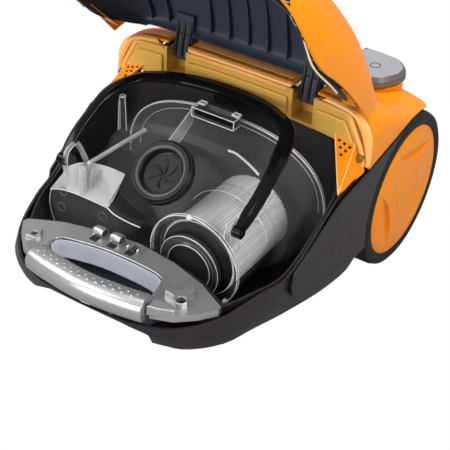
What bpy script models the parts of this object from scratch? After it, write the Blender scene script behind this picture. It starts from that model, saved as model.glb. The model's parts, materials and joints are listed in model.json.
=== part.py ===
# Canister vacuum cleaner with its lid standing open.
# World frame: X across, front (carry handle) at -Y, rear (pedals) at +Y, +Z up, floor at z = 0.
# Lengths in this file are millimetres; MM turns them into metres.
import bpy
import bmesh
import math
from mathutils import Vector, Matrix

MM = 0.001

for ob in list(bpy.data.objects):
    bpy.data.objects.remove(ob, do_unlink=True)

# ------------------------------------------------------------------ driving sizes
WHEEL_Y, WHEEL_Z, TYRE_R = 130.0, 85.5, 85.5
HUB_R = 71.6
WHEEL_IN, WHEEL_OUT = 111.0, 152.0          # inner and outer tyre faces, |x|
AXLE_R = 5.0
CASTER_Y, CASTER_R = -92.0, 10.5
HINGE_Y, HINGE_Z = 45.0, 205.0              # lid hinge axis (along X)
LID_OPEN = 75.0                             # degrees the lid stands open at rest
ARM_X0, ARM_X1 = 64.2, 84.0                 # hinge arm, |x|
SLOT_X0, SLOT_X1 = 62.5, 85.7               # notch in the bulkhead, |x|
INLET_C = Vector((0.0, -95.0, 163.0))
INLET_N = Vector((0.0, -0.682, 0.731)).normalized()
FILTER_X, FILTER_Z, FILTER_R = 54.0, 97.5, 44.0
BAIL_Y, BAIL_Z, BAIL_X = -118.0, 151.0, 100.0
PEDAL_TRAVEL = 2.5

# ------------------------------------------------------------------ materials
MATS = {}


def mat(name, rgb, rough=0.5, metal=0.0, alpha=1.0):
    if name in MATS:
        return MATS[name]
    m = bpy.data.materials.new(name)
    m.use_nodes = True
    b = m.node_tree.nodes['Principled BSDF']
    b.inputs['Base Color'].default_value = (rgb[0], rgb[1], rgb[2], 1.0)
    b.inputs['Roughness'].default_value = rough
    b.inputs['Metallic'].default_value = metal
    b.inputs['Alpha'].default_value = alpha
    m.diffuse_color = (rgb[0], rgb[1], rgb[2], alpha)
    MATS[name] = m
    return m


YELLOW = mat('yellow_gloss_plastic', (0.90, 0.36, 0.02), 0.25)
GOLD = mat('gold_satin_plastic', (0.75, 0.42, 0.10), 0.45)
BLACK = mat('black_satin_plastic', (0.020, 0.018, 0.020), 0.45)
GLOSSBLACK = mat('black_gloss_plastic', (0.01, 0.01, 0.01), 0.15)
SLATE = mat('slate_plastic', (0.045, 0.055, 0.075), 0.5)
SILVER = mat('silver_satin_plastic', (0.60, 0.60, 0.61), 0.35, 0.5)
GREY = mat('grey_satin_plastic', (0.42, 0.43, 0.47), 0.4)
CLEAR = mat('clear_plastic', (0.75, 0.76, 0.78), 0.08, 0.0, 0.35)
RUBBER = mat('black_rubber', (0.015, 0.015, 0.015), 0.7)
FILTERM = mat('filter_paper', (0.80, 0.80, 0.80), 0.9)
STEEL = mat('steel', (0.60, 0.60, 0.60), 0.3, 1.0)
WHITE = mat('white_plastic', (0.75, 0.75, 0.73), 0.4)
GREEN = mat('board_green', (0.02, 0.20, 0.07), 0.5)
COPPER = mat('motor_can_steel', (0.50, 0.50, 0.52), 0.35, 1.0)


# ------------------------------------------------------------------ mesh helpers
def make(name, verts, faces, material, origin=(0, 0, 0), smooth=False):
    o = Vector(origin)
    me = bpy.data.meshes.new(name)
    me.from_pydata([tuple((Vector(v) - o) * MM) for v in verts], [], faces)
    bm = bmesh.new()
    bm.from_mesh(me)
    bmesh.ops.remove_doubles(bm, verts=bm.verts, dist=1e-6)
    bmesh.ops.recalc_face_normals(bm, faces=bm.faces)
    if bm.calc_volume(signed=True) < 0:
        bmesh.ops.reverse_faces(bm, faces=bm.faces)
    bm.to_mesh(me)
    bm.free()
    ob = bpy.data.objects.new(name, me)
    ob.location = o * MM
    bpy.context.collection.objects.link(ob)
    me.materials.append(material)
    if smooth:
        for p in me.polygons:
            p.use_smooth = True
    return ob


def combine(a, b, op='DIFFERENCE', solver='EXACT'):
    m = a.modifiers.new('cut', 'BOOLEAN')
    m.operation = op
    m.solver = solver
    m.object = b
    bpy.context.view_layer.update()
    dg = bpy.context.evaluated_depsgraph_get()
    me = bpy.data.meshes.new_from_object(a.evaluated_get(dg))
    a.modifiers.clear()
    keep = a.data.materials[0]
    a.data = me
    me.materials.clear()
    me.materials.append(keep)
    for p in me.polygons:
        p.material_index = 0
    bpy.data.objects.remove(b, do_unlink=True)
    return a


def cut(a, b):
    return combine(a, b, 'DIFFERENCE')


def join(a, b):
    return combine(a, b, 'UNION')


def bridge(faces, a, b, n, closed=True):
    for i in range(n if closed else n - 1):
        j = (i + 1) % n
        faces.append((a + i, a + j, b + j, b + i))


def rings_solid(rings, cap=True):
    # stack of equal closed rings, flat cap at both ends
    n = len(rings[0])
    verts = [p for r in rings for p in r]
    faces = []
    for k in range(len(rings) - 1):
        bridge(faces, k * n, (k + 1) * n, n)
    if cap:
        faces.append(tuple(range(n)))
        faces.append(tuple(range((len(rings) - 1) * n, len(rings) * n)))
    return verts, faces


def loop_solid(rings):
    # rings that close on themselves (first ring joins the last one)
    n = len(rings[0])
    verts = [p for r in rings for p in r]
    faces = []
    m = len(rings)
    for k in range(m):
        bridge(faces, k * n, ((k + 1) % m) * n, n)
    return verts, faces


def box(x0, x1, y0, y1, z0, z1):
    v = [(x, y, z) for x in (x0, x1) for y in (y0, y1) for z in (z0, z1)]
    f = [(0, 1, 3, 2), (4, 6, 7, 5), (0, 4, 5, 1), (2, 3, 7, 6), (0, 2, 6, 4), (1, 5, 7, 3)]
    return v, f


def prism(poly, axis, a0, a1):
    def p3(u, w, a):
        return {'x': (a, u, w), 'y': (u, a, w), 'z': (u, w, a)}[axis]
    r0 = [p3(u, w, a0) for u, w in poly]
    r1 = [p3(u, w, a1) for u, w in poly]
    return rings_solid([r0, r1])


def revolve(profile, axis, c, n, a_phase=0.0):
    # profile: closed list of (along, radius); points with radius 0 collapse to a pole
    rings = []
    for k in range(n):
        t = 2 * math.pi * (k + a_phase) / n
        ct, st = math.cos(t), math.sin(t)
        ring = []
        for a, r in profile:
            if axis == 'x':
                ring.append((c[0] + a, c[1] + r * ct, c[2] + r * st))
            elif axis == 'y':
                ring.append((c[0] + r * ct, c[1] + a, c[2] + r * st))
            else:
                ring.append((c[0] + r * ct, c[1] + r * st, c[2] + a))
        rings.append(ring)
    v, f = loop_solid(rings)
    m = len(profile)
    # the stretch between two axis points is no surface
    f = [q for q in f if not all(profile[i % m][1] == 0.0 for i in q)]
    return v, f


def along(v, frame_o, n_dir):
    # turns points drawn about the Z axis at the origin so that Z points along n_dir
    q = Vector((0, 0, 1)).rotation_difference(n_dir)
    return [tuple(q @ Vector(p) + frame_o) for p in v]


def cyl(axis, c, r, a0, a1, n=20):
    poly = [(r * math.cos(2 * math.pi * k / n), r * math.sin(2 * math.pi * k / n)) for k in range(n)]
    if axis == 'x':
        poly = [(c[1] + u, c[2] + w) for u, w in poly]
    elif axis == 'y':
        poly = [(c[0] + u, c[2] + w) for u, w in poly]
    else:
        poly = [(c[0] + u, c[1] + w) for u, w in poly]
    return prism(poly, axis, a0, a1)


def tube(axis, c, r0, r1, a0, a1, n=24):
    return revolve([(a0, r0), (a0, r1), (a1, r1), (a1, r0)], axis, c, n)


def spline(pts, k):
    # Catmull-Rom through pts, k steps per span
    out = []
    n = len(pts)
    dim = len(pts[0])
    for i in range(n - 1):
        p0 = pts[max(i - 1, 0)]
        p1, p2 = pts[i], pts[i + 1]
        p3 = pts[min(i + 2, n - 1)]
        for s in range(k):
            t = s / k
            out.append(tuple(0.5 * ((2 * p1[d]) + (-p0[d] + p2[d]) * t
                       + (2 * p0[d] - 5 * p1[d] + 4 * p2[d] - p3[d]) * t * t
                       + (-p0[d] + 3 * p1[d] - 3 * p2[d] + p3[d]) * t ** 3) for d in range(dim)))
    out.append(tuple(pts[-1]))
    return out


def mirror_ring(half):
    # half outline from the front centre (x = 0) to the rear centre (x = 0), closed over -x
    return list(half) + [(-p[0],) + tuple(p[1:]) for p in reversed(half[1:-1])]


def offset(ring, d):
    # moves a closed outline inwards by d in the XY plane, z kept
    n = len(ring)
    out = []
    for i in range(n):
        p, a, b = ring[i], ring[i - 1], ring[(i + 1) % n]
        e1 = Vector((p[0] - a[0], p[1] - a[1]))
        e2 = Vector((b[0] - p[0], b[1] - p[1]))
        if e1.length < 1e-6:
            e1 = e2
        if e2.length < 1e-6:
            e2 = e1
        e1.normalize()
        e2.normalize()
        n1 = Vector((-e1.y, e1.x))
        n2 = Vector((-e2.y, e2.x))
        m = (n1 + n2)
        if m.length < 1e-6:
            m = n1.copy()
        m.normalize()
        k = max(m.dot(n1), 0.5)
        out.append((p[0] + m.x * d / k, p[1] + m.y * d / k) + tuple(p[2:]))
    return out


def at_z(ring, z):
    return [(p[0], p[1], z) for p in ring]


def cup(outer, inner):
    # outer rings bottom to rim, inner rings rim to floor
    return rings_solid(list(outer) + list(inner))


def usection(y, w, b, t, n, k, y_top=None):
    # arch across X: from the right lower edge over the top to the left lower edge
    pts = []
    yt = y if y_top is None else y_top
    for i in range(k + 1):
        ph = math.pi * i / k
        c, s = math.cos(ph), max(math.sin(ph), 0.0)
        x = w * math.copysign(abs(c) ** (2.0 / n), c)
        f = s ** (2.0 / n)
        pts.append((x, y + (yt - y) * f, b + (t - b) * f))
    return pts


def sheet(grid, t):
    # thickens an open grid of points by t against its normal; one closed solid
    S, K = len(grid), len(grid[0])
    G = [[Vector(p) for p in row] for row in grid]
    N = []
    for i in range(S):
        row = []
        for j in range(K):
            du = G[min(i + 1, S - 1)][j] - G[max(i - 1, 0)][j]
            dv = G[i][min(j + 1, K - 1)] - G[i][max(j - 1, 0)]
            nn = du.cross(dv)
            if nn.length < 1e-9:
                nn = Vector((0, 0, 1))
            row.append(nn.normalized())
        N.append(row)
    verts = [tuple(G[i][j]) for i in range(S) for j in range(K)]
    verts += [tuple(G[i][j] - N[i][j] * t) for i in range(S) for j in range(K)]
    off = S * K
    f = []
    for i in range(S - 1):
        for j in range(K - 1):
            a = i * K + j
            f.append((a, a + 1, a + K + 1, a + K))
            f.append((off + a, off + a + K, off + a + K + 1, off + a + 1))
    for j in range(K - 1):
        f.append((j, off + j, off + j + 1, j + 1))
        a = (S - 1) * K + j
        f.append((a, a + 1, off + a + 1, off + a))
    for i in range(S - 1):
        a = i * K
        f.append((a, a + K, off + a + K, off + a))
        a = i * K + K - 1
        f.append((a, off + a, off + a + K, a + K))
    return verts, f


def opened(v):
    # lid points drawn closed -> standing open at rest
    c, s = math.cos(math.radians(LID_OPEN)), math.sin(math.radians(LID_OPEN))
    out = []
    for p in v:
        dy, dz = p[1] - HINGE_Y, p[2] - HINGE_Z
        out.append((p[0], HINGE_Y + dy * c + dz * s, HINGE_Z - dy * s + dz * c))
    return out


def sweep(path, r, n=8, flat=1.0):
    # round or oval bar along a list of points; r may be one radius or a function of the share of the way
    P = [Vector(p) for p in path]
    rings = []
    up = Vector((0, 0, 1))
    for i, p in enumerate(P):
        d = (P[min(i + 1, len(P) - 1)] - P[max(i - 1, 0)]).normalized()
        a = d.cross(up)
        if a.length < 1e-3:
            a = Vector((1, 0, 0))
        a.normalize()
        b = a.cross(d).normalized()
        h = r(i / (len(P) - 1.0)) if callable(r) else r
        rings.append([tuple(p + a * h * math.cos(2 * math.pi * k / n) + b * h * flat * math.sin(2 * math.pi * k / n))
                      for k in range(n)])
    return rings_solid(rings)


# ------------------------------------------------------------------ hull
def half(front, rear):
    # the three innermost stations stay sharp (edge of the recess between the bumper lobes)
    return list(front[:3]) + spline(front[3:], 2) + rear


H26 = half([(0, -158, 26), (48, -158, 26), (52, -158.5, 26), (58, -157.5, 26), (72, -150, 26), (92, -128, 26), (103, -95, 26), (118, -50, 26), (128, -10, 26), (133, 25, 26)],
           [(133, 39, 26), (100, 43.5, 26), (100, 120, 26), (100, 160, 26), (99, 190, 26), (85, 205, 26), (0, 211, 26)])
H32 = half([(0, -166, 32), (49, -166, 32), (54, -168, 32), (61, -168.5, 32), (79, -160, 32), (100, -135, 32), (112, -95, 32), (126, -50, 32), (135, -10, 32), (139, 25, 32)],
           [(139, 39, 32), (102, 43.5, 32), (102, 120, 32), (102, 160, 32), (101, 195, 32), (88, 210, 32), (0, 216, 32)])
H50 = half([(0, -176, 50), (50, -176, 50), (55, -185, 50), (63, -187.5, 50), (87, -177, 50), (111, -151, 50), (123, -115, 50), (136.5, -68, 50), (144, -15, 50), (145.5, 25, 50)],
           [(145.5, 39, 50), (104, 43.5, 50), (104, 120, 50), (104, 160, 50), (104, 198, 50), (90, 214, 50), (0, 220, 50)])
H59 = half([(0, -179, 59), (50, -179, 59), (55, -193, 59), (63, -197.2, 59), (90, -187, 59), (117, -160, 59), (128.5, -119, 59), (138.5, -71, 59), (144.5, -15, 59), (146, 25, 59)],
           [(146, 39, 59), (104, 43.5, 59), (104, 120, 59), (104, 160, 59), (104, 199, 59), (90, 215, 59), (0, 221, 59)])
H63 = half([(0, -210, 63), (50, -205.6, 63), (55, -204.0, 63), (63, -201.6, 63), (91, -192, 63), (119.5, -164, 63), (130.5, -121, 63), (139.3, -73, 63), (144.8, -15, 63), (146, 25, 63)],
           [(146, 39, 63), (104, 43.5, 63), (104, 120, 63), (104, 160, 63), (104, 199, 63), (90, 215.5, 63), (0, 221.5, 63)])
H75 = half([(0, -215, 75), (50, -211.0, 75), (55, -209.7, 75), (63, -207.3, 75), (91, -197, 75), (121, -168, 75), (134, -122, 75), (141, -78, 75), (145, -15, 75), (146, 25, 75)],
           [(146, 39, 75), (104, 43.5, 75), (104, 120, 75), (104, 160, 75), (104, 200, 75), (90, 216, 75), (0, 222, 75)])
RIM = half([(0, -217, 86), (50, -213.0, 86), (55, -211.7, 86), (63, -209.2, 86), (89, -197, 86.4), (116, -168, 91.2), (132, -126, 100), (141.5, -86, 106), (145, -16, 149), (146, 27, 158)],
           [(146, 39, 157), (104, 43.5, 160), (104, 120, 166), (104, 160, 149), (104, 198, 130), (90, 216, 110), (0, 222, 110)])
WALL = 2.6
outer = [mirror_ring(h) for h in (H26, H32, H50, H59, H63, H75, RIM)]
inner = [offset(outer[6], WALL), offset(outer[5], WALL), at_z(offset(outer[4], WALL), 66.5), at_z(offset(outer[3], WALL), 62.5),
         offset(outer[2], WALL + 0.4), at_z(offset(outer[1], WALL + 2.0), 33.5), at_z(offset(outer[0], WALL + 2.0), 29.2)]
v, f = cup(outer, inner)
hull = make('lower_chassis', v, f, BLACK)
for sx in (-1, 1):
    # bore for the fixed wheel axle
    v, f = cyl('x', (0, WHEEL_Y, WHEEL_Z), AXLE_R + 0.03, min(sx * 95, sx * 110), max(sx * 95, sx * 110), 16)
    cut(hull, make('c', v, f, BLACK))
v, f = cyl('z', (0, CASTER_Y, 0), 4.1, 20, 40, 24)
cut(hull, make('c', v, f, BLACK))
# hole for the cord outlet in the rear wall
v, f = cyl('y', (-62, 0, 80), 8.4, 200, 240, 16)
cut(hull, make('c', v, f, BLACK))

# ------------------------------------------------------------------ bin tub (black liner of the bin bay)
def tub_ring(front, side, back):
    return mirror_ring(spline(front, 2)[:-1] + spline(side, 2)[:-1] + spline(back, 2))


T46 = tub_ring([(0, -122, 46), (40, -126, 46), (76, -136, 46), (100, -143, 46)], [(100, -143, 46), (112, -125, 46), (121, -88, 46), (129, -16, 46), (129, 12, 46)],
               [(129, 12, 46), (122, 24, 46), (90, 26, 46), (0, 26, 46)])
T70 = tub_ring([(0, -123, 70), (40, -127, 70), (78, -138, 70), (104, -150, 70)], [(104, -150, 70), (124, -120, 70), (133, -86, 70), (138.5, -16, 70), (138, 10, 70)],
               [(138, 10, 70), (130, 25, 70), (92, 27, 70), (0, 27, 70)])
TRIM = tub_ring([(0, -125, 96), (42, -130, 96), (80, -141, 97), (112, -157, 97)], [(112, -157, 97), (127, -126, 101), (137.5, -86, 106), (140.4, -16, 148), (129.4, 8, 164.5)],
                [(129.4, 8, 164.5), (114, 26.6, 178.5), (94, 28, 183), (0, 28, 191)])
touter = [T46, T70, TRIM]
tinner = [offset(TRIM, 2.2), offset(T70, 2.2), at_z(offset(T46, 2.4), 48.4)]
v, f = cup(touter, tinner)
tub = make('bin_tub', v, f, BLACK)
MOTOR_X, MOTOR_Z = 40.0, 95.0
v, f = cyl('y', (MOTOR_X, 0, MOTOR_Z), 24.0, 15, 40, 24)
cut(tub, make('c', v, f, BLACK))

# ------------------------------------------------------------------ side fenders
def fender_x(y):
    t = [(-95, 144.8), (-64, 147.3), (-16, 150.2), (30, 151.6), (120, 151.8)]
    for (a, xa), (b, xb) in zip(t, t[1:]):
        if y <= b:
            return xa + (xb - xa) * max(0.0, (y - a)) / (b - a)
    return t[-1][1]


def fender_outline():
    top = [(-88, 106.6), (-60, 123.2), (-40, 136), (-16, 149.4), (34, 157.6), (70, 163.6), (101, 168.4)]
    circ = [(WHEEL_Y + 87.4 * math.cos(math.radians(a)), WHEEL_Z + 87.4 * math.sin(math.radians(a))) for a in (106, 118, 130, 142, 154, 166, 178, 190, 197)]
    low = [(20, 59.4), (-20, 59.6), (-48, 60.4), (-66, 63.6), (-80, 71), (-88.5, 81), (-92, 93)]
    return top + circ + low


for nm, sx in (('fender_right', 1), ('fender_left', -1)):
    o = fender_outline()
    v, f = rings_solid([[(sx * (fender_x(y) - 2.2), y, z) for y, z in o], [(sx * fender_x(y), y, z) for y, z in o]])
    ob = make(nm, v, f, BLACK)
    bm = bmesh.new()
    bm.from_mesh(ob.data)
    bmesh.ops.triangulate(bm, faces=[p for p in bm.faces if len(p.verts) > 4])
    bm.to_mesh(ob.data)
    bm.free()

# ------------------------------------------------------------------ rear cover
RC = [(34, 150, 158.6, 222, 5.0), (60, 150, 163.5, 221, 4.6), (90, 150, 168.5, 207, 4.0), (120, 149.5, 173.0, 187, 3.4), (135, 148.6, 172.6, 178.5, 3.2), (146, 147.5, 171.2, 173.4, 3.0),
      (165, 145, 166.6, 171.0, 3.0), (185, 139, 156.5, 168.5, 3.0), (203, 127, 139.5, 163, 3.0), (216, 112, 124, 150, 3.0), (223, 100, 113.5, 131, 3.0), (225, 97, 112, 114, 3.0)]
RCK = 18
grid = [usection(y, w, b, t, n, RCK) for y, w, b, t, n in RC]
v, f = sheet(grid, 2.4)
cover = make('rear_cover', v, f, YELLOW)

# ------------------------------------------------------------------ bulkhead with hinge pockets
bh = [(-145.5, 160.5), (-145, 170), (-141, 184), (-127, 212.5), (-120, 214.5), (-60, 217.5), (0, 218.5), (60, 217.5), (120, 214.5), (127, 212.5), (141, 184), (145, 170), (145.5, 160.5),
      (136, 160.5), (133, 176), (110, 181.5), (60, 184), (0, 186), (-60, 184), (-110, 181.5), (-133, 176), (-136, 160.5)]
v, f = prism(bh, 'y', 29.6, 33.2)
bulk = make('bulkhead', v, f, GOLD)
for sx in (-1, 1):
    a, b = sorted((sx * 58.5, sx * 89.5))
    v, f = box(a, b, 31.0, 54.5, 183.4, 213.0)
    join(bulk, make('c', v, f, GOLD))
    a, b = sorted((sx * SLOT_X0, sx * SLOT_X1))
    v, f = box(a, b, 20.0, 51.5, 187.0, 240.0)
    cut(bulk, make('c', v, f, GOLD))
    a, b = sorted((sx * 57.0, sx * 91.0))
    v, f = cyl('x', (0, HINGE_Y, HINGE_Z), 2.03, a, b, 12)
    cut(bulk, make('c', v, f, GOLD))

# ------------------------------------------------------------------ side vent panels (gusset faces between bulkhead and hull rim)
for nm, sx in (('side_vent_right', 1), ('side_vent_left', -1)):
    # wedge: low point forward on the rim, high edge against the bulkhead
    P = [(142.6, -14, 153.0), (143.6, -14, 153.0), (134.4, 29.2, 183.0), (111.5, 29.2, 190.6)]
    Q = [(142.6, -14, 151.2), (143.6, -14, 151.2), (134.4, 29.2, 180.6), (111.5, 29.2, 188.2)]
    P = [(sx * x, y, z) for x, y, z in P]
    Q = [(sx * x, y, z) for x, y, z in Q]
    v, f = rings_solid([Q, P])
    ob = make(nm, v, f, GOLD)
    bm = bmesh.new()
    bm.from_mesh(ob.data)
    bmesh.ops.triangulate(bm, faces=bm.faces)
    bm.to_mesh(ob.data)
    bm.free()

# ------------------------------------------------------------------ silver front panel, hand grip and recess liner
pan_front = [(0, -213), (50, -209.5), (86, -195), (101, -181), (113, -165)]
back = [(112, -159.5), (81, -143.2), (42, -132.2), (0, -127.2)]
pf = pan_front
pan = [(x, y) for x, y in pf] + back
pan = pan + [(-x, y) for x, y in reversed(pan[1:-1])]
v, f = prism(pan, 'z', 92.0, 99.0)
panel = make('front_panel', v, f, SILVER)
# hand opening, open to the front between the ends of the grip
big = [(-62, -154), (-30, -147), (0, -145), (30, -147), (60, -155.5), (66.5, -168), (66.5, -184), (65.8, -190), (65.8, -230), (-65.8, -230), (-65.8, -190), (-68, -184), (-70.5, -168)]
v, f = prism(big, 'z', 80, 120)
cut(panel, make('c', v, f, SILVER))
for x in (-40, -20, 0):
    v, f = box(x - 4, x + 4, -142.0 - abs(x) * 0.04, -131.0 - abs(x) * 0.04, 80, 120)
    cut(panel, make('c', v, f, SILVER))
v, f = cyl('z', (76, -172, 0), 4.0, 80, 120, 12)
cut(panel, make('c', v, f, SILVER))
v, f = cyl('z', (-86, -176, 0), 3.0, 80, 120, 12)
cut(panel, make('c', v, f, SILVER))

grip_path = spline([(-63, -203.2, 100.4), (-40, -208.4, 101.2), (0, -212.2, 101.6), (40, -208.4, 101.2), (63, -203.2, 100.4)], 4)
rings = []
GN = 12
for i, p in enumerate(grip_path):
    P0 = Vector(grip_path[max(i - 1, 0)])
    P1 = Vector(grip_path[min(i + 1, len(grip_path) - 1)])
    d = (P1 - P0).normalized()
    a = Vector((d.y, -d.x, 0)).normalized()
    ring = []
    for k in range(GN):
        t = 2 * math.pi * k / GN
        ct, st = math.cos(t), math.sin(t)
        ex = 2.0 / 2.6
        q = Vector(p) + a * 12.8 * math.copysign(abs(ct) ** ex, ct) + Vector((0, 0, 1)) * 13.0 * math.copysign(abs(st) ** ex, st)
        ring.append(tuple(q))
    rings.append(ring)
v, f = rings_solid(rings)
make('carry_handle_grip', v, f, SILVER, smooth=False)

# recess liner: open basin under the hand opening and the grip
def scaled(poly, cx, cy, s, z):
    return [(cx + (x - cx) * s, cy + (y - cy) * s, z) for x, y in poly]


bas = [(-60.5, -155.5), (-30, -148.6), (0, -146.6), (30, -148.6), (58.5, -157), (64.5, -168), (66, -184), (62, -190), (0, -202), (-62, -190), (-67, -184), (-68.5, -168)]
bo = [scaled(bas, 0, -172, 0.86, 67.6), scaled(bas, 0, -172, 0.96, 73), scaled(bas, 0, -172, 1.0, 84.0)]
bi = [scaled(bas, 0, -172, 0.965, 84.0), scaled(bas, 0, -172, 0.925, 74), scaled(bas, 0, -172, 0.82, 69.4)]
v, f = cup(bo, bi)
make('handle_recess_liner', v, f, SLATE)

# ------------------------------------------------------------------ wheels
for side, sx in (('right', 1), ('left', -1)):
    c = (0, WHEEL_Y, WHEEL_Z)
    o = (sx * 130, WHEEL_Y, WHEEL_Z)
    prof = [(112, HUB_R + 0.4), (112, 81), (115.5, 84.6), (122, TYRE_R), (144, TYRE_R), (149.5, 83.8), (152, 79.5), (152, 75), (150.6, HUB_R + 0.4)]
    v, f = revolve([(sx * a, r) for a, r in prof], 'x', c, 28)
    make('tyre_' + side, v, f, RUBBER, o)
    prof = [(140.6, 0.0), (140.6, AXLE_R + 0.12), (113, AXLE_R + 0.12), (113, 12), (146, 13), (146.5, 63), (115, 64.5), (115, HUB_R), (150, HUB_R),
            (152.4, 69), (153.6, 55), (154.2, 30), (154.4, 0.0)]
    v, f = revolve([(sx * a, r) for a, r in prof], 'x', c, 28)
    make('wheel_hub_' + side, v, f, YELLOW, o)
    prof = [(95, 0.0), (95, 9.0), (100.6, 9.0), (100.6, AXLE_R), (140, AXLE_R), (140, 0.0)]
    v, f = revolve([(sx * a, r) for a, r in prof], 'x', c, 16)
    make('wheel_axle_' + side, v, f, STEEL, o)

# ------------------------------------------------------------------ front caster
v, f = cyl('z', (0, CASTER_Y, 0), 14.0, 22.4, 25.6, 20)
fork = make('caster_fork', v, f, BLACK, (0, CASTER_Y, 24))
v, f = cyl('z', (0, CASTER_Y, 0), 4.0, 24.0, 33.5, 12)
join(fork, make('c', v, f, BLACK, (0, CASTER_Y, 24)))
for sx in (-1, 1):
    a, b = sorted((sx * 7.2, sx * 9.8))
    poly = [(CASTER_Y - 5, 23.0), (CASTER_Y + 11, 23.0), (CASTER_Y + 11, 9), (CASTER_Y + 8, 6.5), (CASTER_Y + 3, 7)]
    v, f = prism(poly, 'x', a, b)
    join(fork, make('c', v, f, BLACK, (0, CASTER_Y, 24)))
v, f = cyl('x', (0, CASTER_Y + 6, CASTER_R), 2.03, -12, 12, 10)
cut(fork, make('c', v, f, BLACK, (0, CASTER_Y, 24)))
v, f = revolve([(-6.5, 2.1), (-6.5, 9.6), (-5.2, CASTER_R), (5.2, CASTER_R), (6.5, 9.6), (6.5, 2.1)], 'x', (0, CASTER_Y + 6, CASTER_R), 20)
make('caster_wheel', v, f, GREY, (0, CASTER_Y + 6, CASTER_R))
v, f = cyl('x', (0, CASTER_Y + 6, CASTER_R), 2.0, -9.8, 9.8, 10)
make('caster_pin', v, f, STEEL, (0, CASTER_Y + 6, CASTER_R))

# ------------------------------------------------------------------ rear pedals, vent and what is under them
def rr(x0, x1, y0, y1, r, n=4):
    pts = []
    for cx, cy, a0 in ((x1 - r, y0 + r, -90), (x1 - r, y1 - r, 0), (x0 + r, y1 - r, 90), (x0 + r, y0 + r, 180)):
        for k in range(n + 1):
            a = math.radians(a0 + 90.0 * k / n)
            pts.append((cx + r * math.cos(a), cy + r * math.sin(a)))
    return pts


def shrink(poly, d, z):
    return offset([(x, y, z) for x, y in poly], d)


PED = [(46, 156), (58, 152), (84, 152), (97, 159), (107, 180), (106, 196), (95, 210), (78, 215), (54, 216), (46, 210)]
PED_Z = 175.4
for nm, sx, cap in (('power_pedal', 1, GREY), ('rewind_pedal', -1, GREY)):
    P = [(sx * x, y) for x, y in PED]
    if sx < 0:
        P = list(reversed(P))
    z0 = PED_Z
    outer_r = [shrink(P, 0.6, z0), shrink(P, 0.0, z0 + 2.0), shrink(P, 0.0, z0 + 6.5), shrink(P, 3.2, z0 + 11.4)]
    inner_r = [shrink(P, 5.6, z0 + 9.2), shrink(P, 3.0, z0 + 6.0), shrink(P, 2.8, z0)]
    # hollow cap, opening downwards
    v, f = rings_solid(list(reversed(outer_r)) + list(reversed(inner_r)))
    ped = make(nm, v, f, cap, (sx * 76, 180, z0))
    # guide stem under the cap
    v, f = cyl('z', (sx * 76, 180, 0), 4.0, 150.0, z0 + 10.3, 12)
    join(ped, make('c', v, f, cap, (sx * 76, 180, z0)))
    # pedestal on the cover: open-topped boss, bored for the stem
    Q = [shrink(P, 1.2, 148.0), shrink(P, 1.2, PED_Z - PEDAL_TRAVEL - 0.4)]
    v, f = rings_solid(Q)
    join(cover, make('c', v, f, YELLOW))
# hollow the pedestals from below so that they stay thin-walled
for sx in (1, -1):
    P = [(sx * x, y) for x, y in PED]
    if sx < 0:
        P = list(reversed(P))
    v, f = rings_solid([shrink(P, 3.8, 120.0), shrink(P, 3.8, PED_Z - PEDAL_TRAVEL - 2.8)])
    cut(cover, make('c', v, f, YELLOW))
    v, f = cyl('z', (sx * 76, 180, 0), 4.1, 160, 200, 12)
    cut(cover, make('c', v, f, YELLOW))

for sx in (-1, 1):
    a, b = sorted((sx * 61.0, sx * 87.2))
    v, f = box(a, b, 20, 55.5, 195, 240)
    cut(cover, make('c', v, f, YELLOW))

# pedal springs, coiled round the guide stems under the pedestals
def coil(name, c, r, wire, z0, z1, turns, material):
    steps, n = int(turns * 8), 4
    rings = []
    for i in range(steps + 1):
        t = i / steps
        a = 2 * math.pi * turns * t
        p = Vector((c[0] + r * math.cos(a), c[1] + r * math.sin(a), z0 + (z1 - z0) * t))
        u = Vector((math.cos(a), math.sin(a), 0))
        rings.append([tuple(p + u * wire * math.cos(2 * math.pi * k / n) + Vector((0, 0, 1)) * wire * math.sin(2 * math.pi * k / n)) for k in range(n)])
    v, f = rings_solid(rings)
    return make(name, v, f, material)


# ------------------------------------------------------------------ bin (clear container with its cyclone chamber and filter)
def superloop(cx, cz, w, h_up, h_dn, n, k, y):
    pts = []
    for i in range(k):
        t = 2 * math.pi * i / k
        c, s2 = math.cos(t), math.sin(t)
        h = h_up if s2 >= 0 else h_dn
        pts.append((cx + w * math.copysign(abs(c) ** (2.0 / n), c), y, cz + h * math.copysign(abs(s2) ** (2.0 / n), s2)))
    return pts


BK = 28
BIN_FRONT = -119.0
LOBE_X, LOBE_Z, LOBE_R = -76.0, 94.0, 43.0
body_o = [superloop(6, 104, 108, 70, 50, 2.5, BK, -52), superloop(6, 104, 114, 76, 52, 2.5, BK, -44), superloop(6, 104, 117, 78, 53, 2.5, BK, 2)]
body_i = [superloop(6, 104, 114.6, 75.6, 50.6, 2.5, BK, 2), superloop(6, 104, 111.6, 73.6, 49.6, 2.5, BK, -42.5), superloop(6, 104, 106, 68, 48, 2.5, BK, -49.6)]
v, f = rings_solid(body_o + body_i)
binb = make('bin_body', v, f, CLEAR)
v, f = cyl('y', (LOBE_X, 0, LOBE_Z), LOBE_R, BIN_FRONT, -46, 24)
join(binb, make('c', v, f, CLEAR))
v, f = cyl('y', (FILTER_X, 0, FILTER_Z), FILTER_R + 2.0, BIN_FRONT, -46, 28)
join(binb, make('c', v, f, CLEAR))


# inlet neck between the two chambers
def neck(r0, r1, a0, a1, n=20):
    v, f = rings_solid([[(r0 * math.cos(2 * math.pi * k / n), r0 * math.sin(2 * math.pi * k / n), a0) for k in range(n)],
                        [(r1 * math.cos(2 * math.pi * k / n), r1 * math.sin(2 * math.pi * k / n), a1) for k in range(n)]])
    return along(v, INLET_C, INLET_N), f


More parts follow.
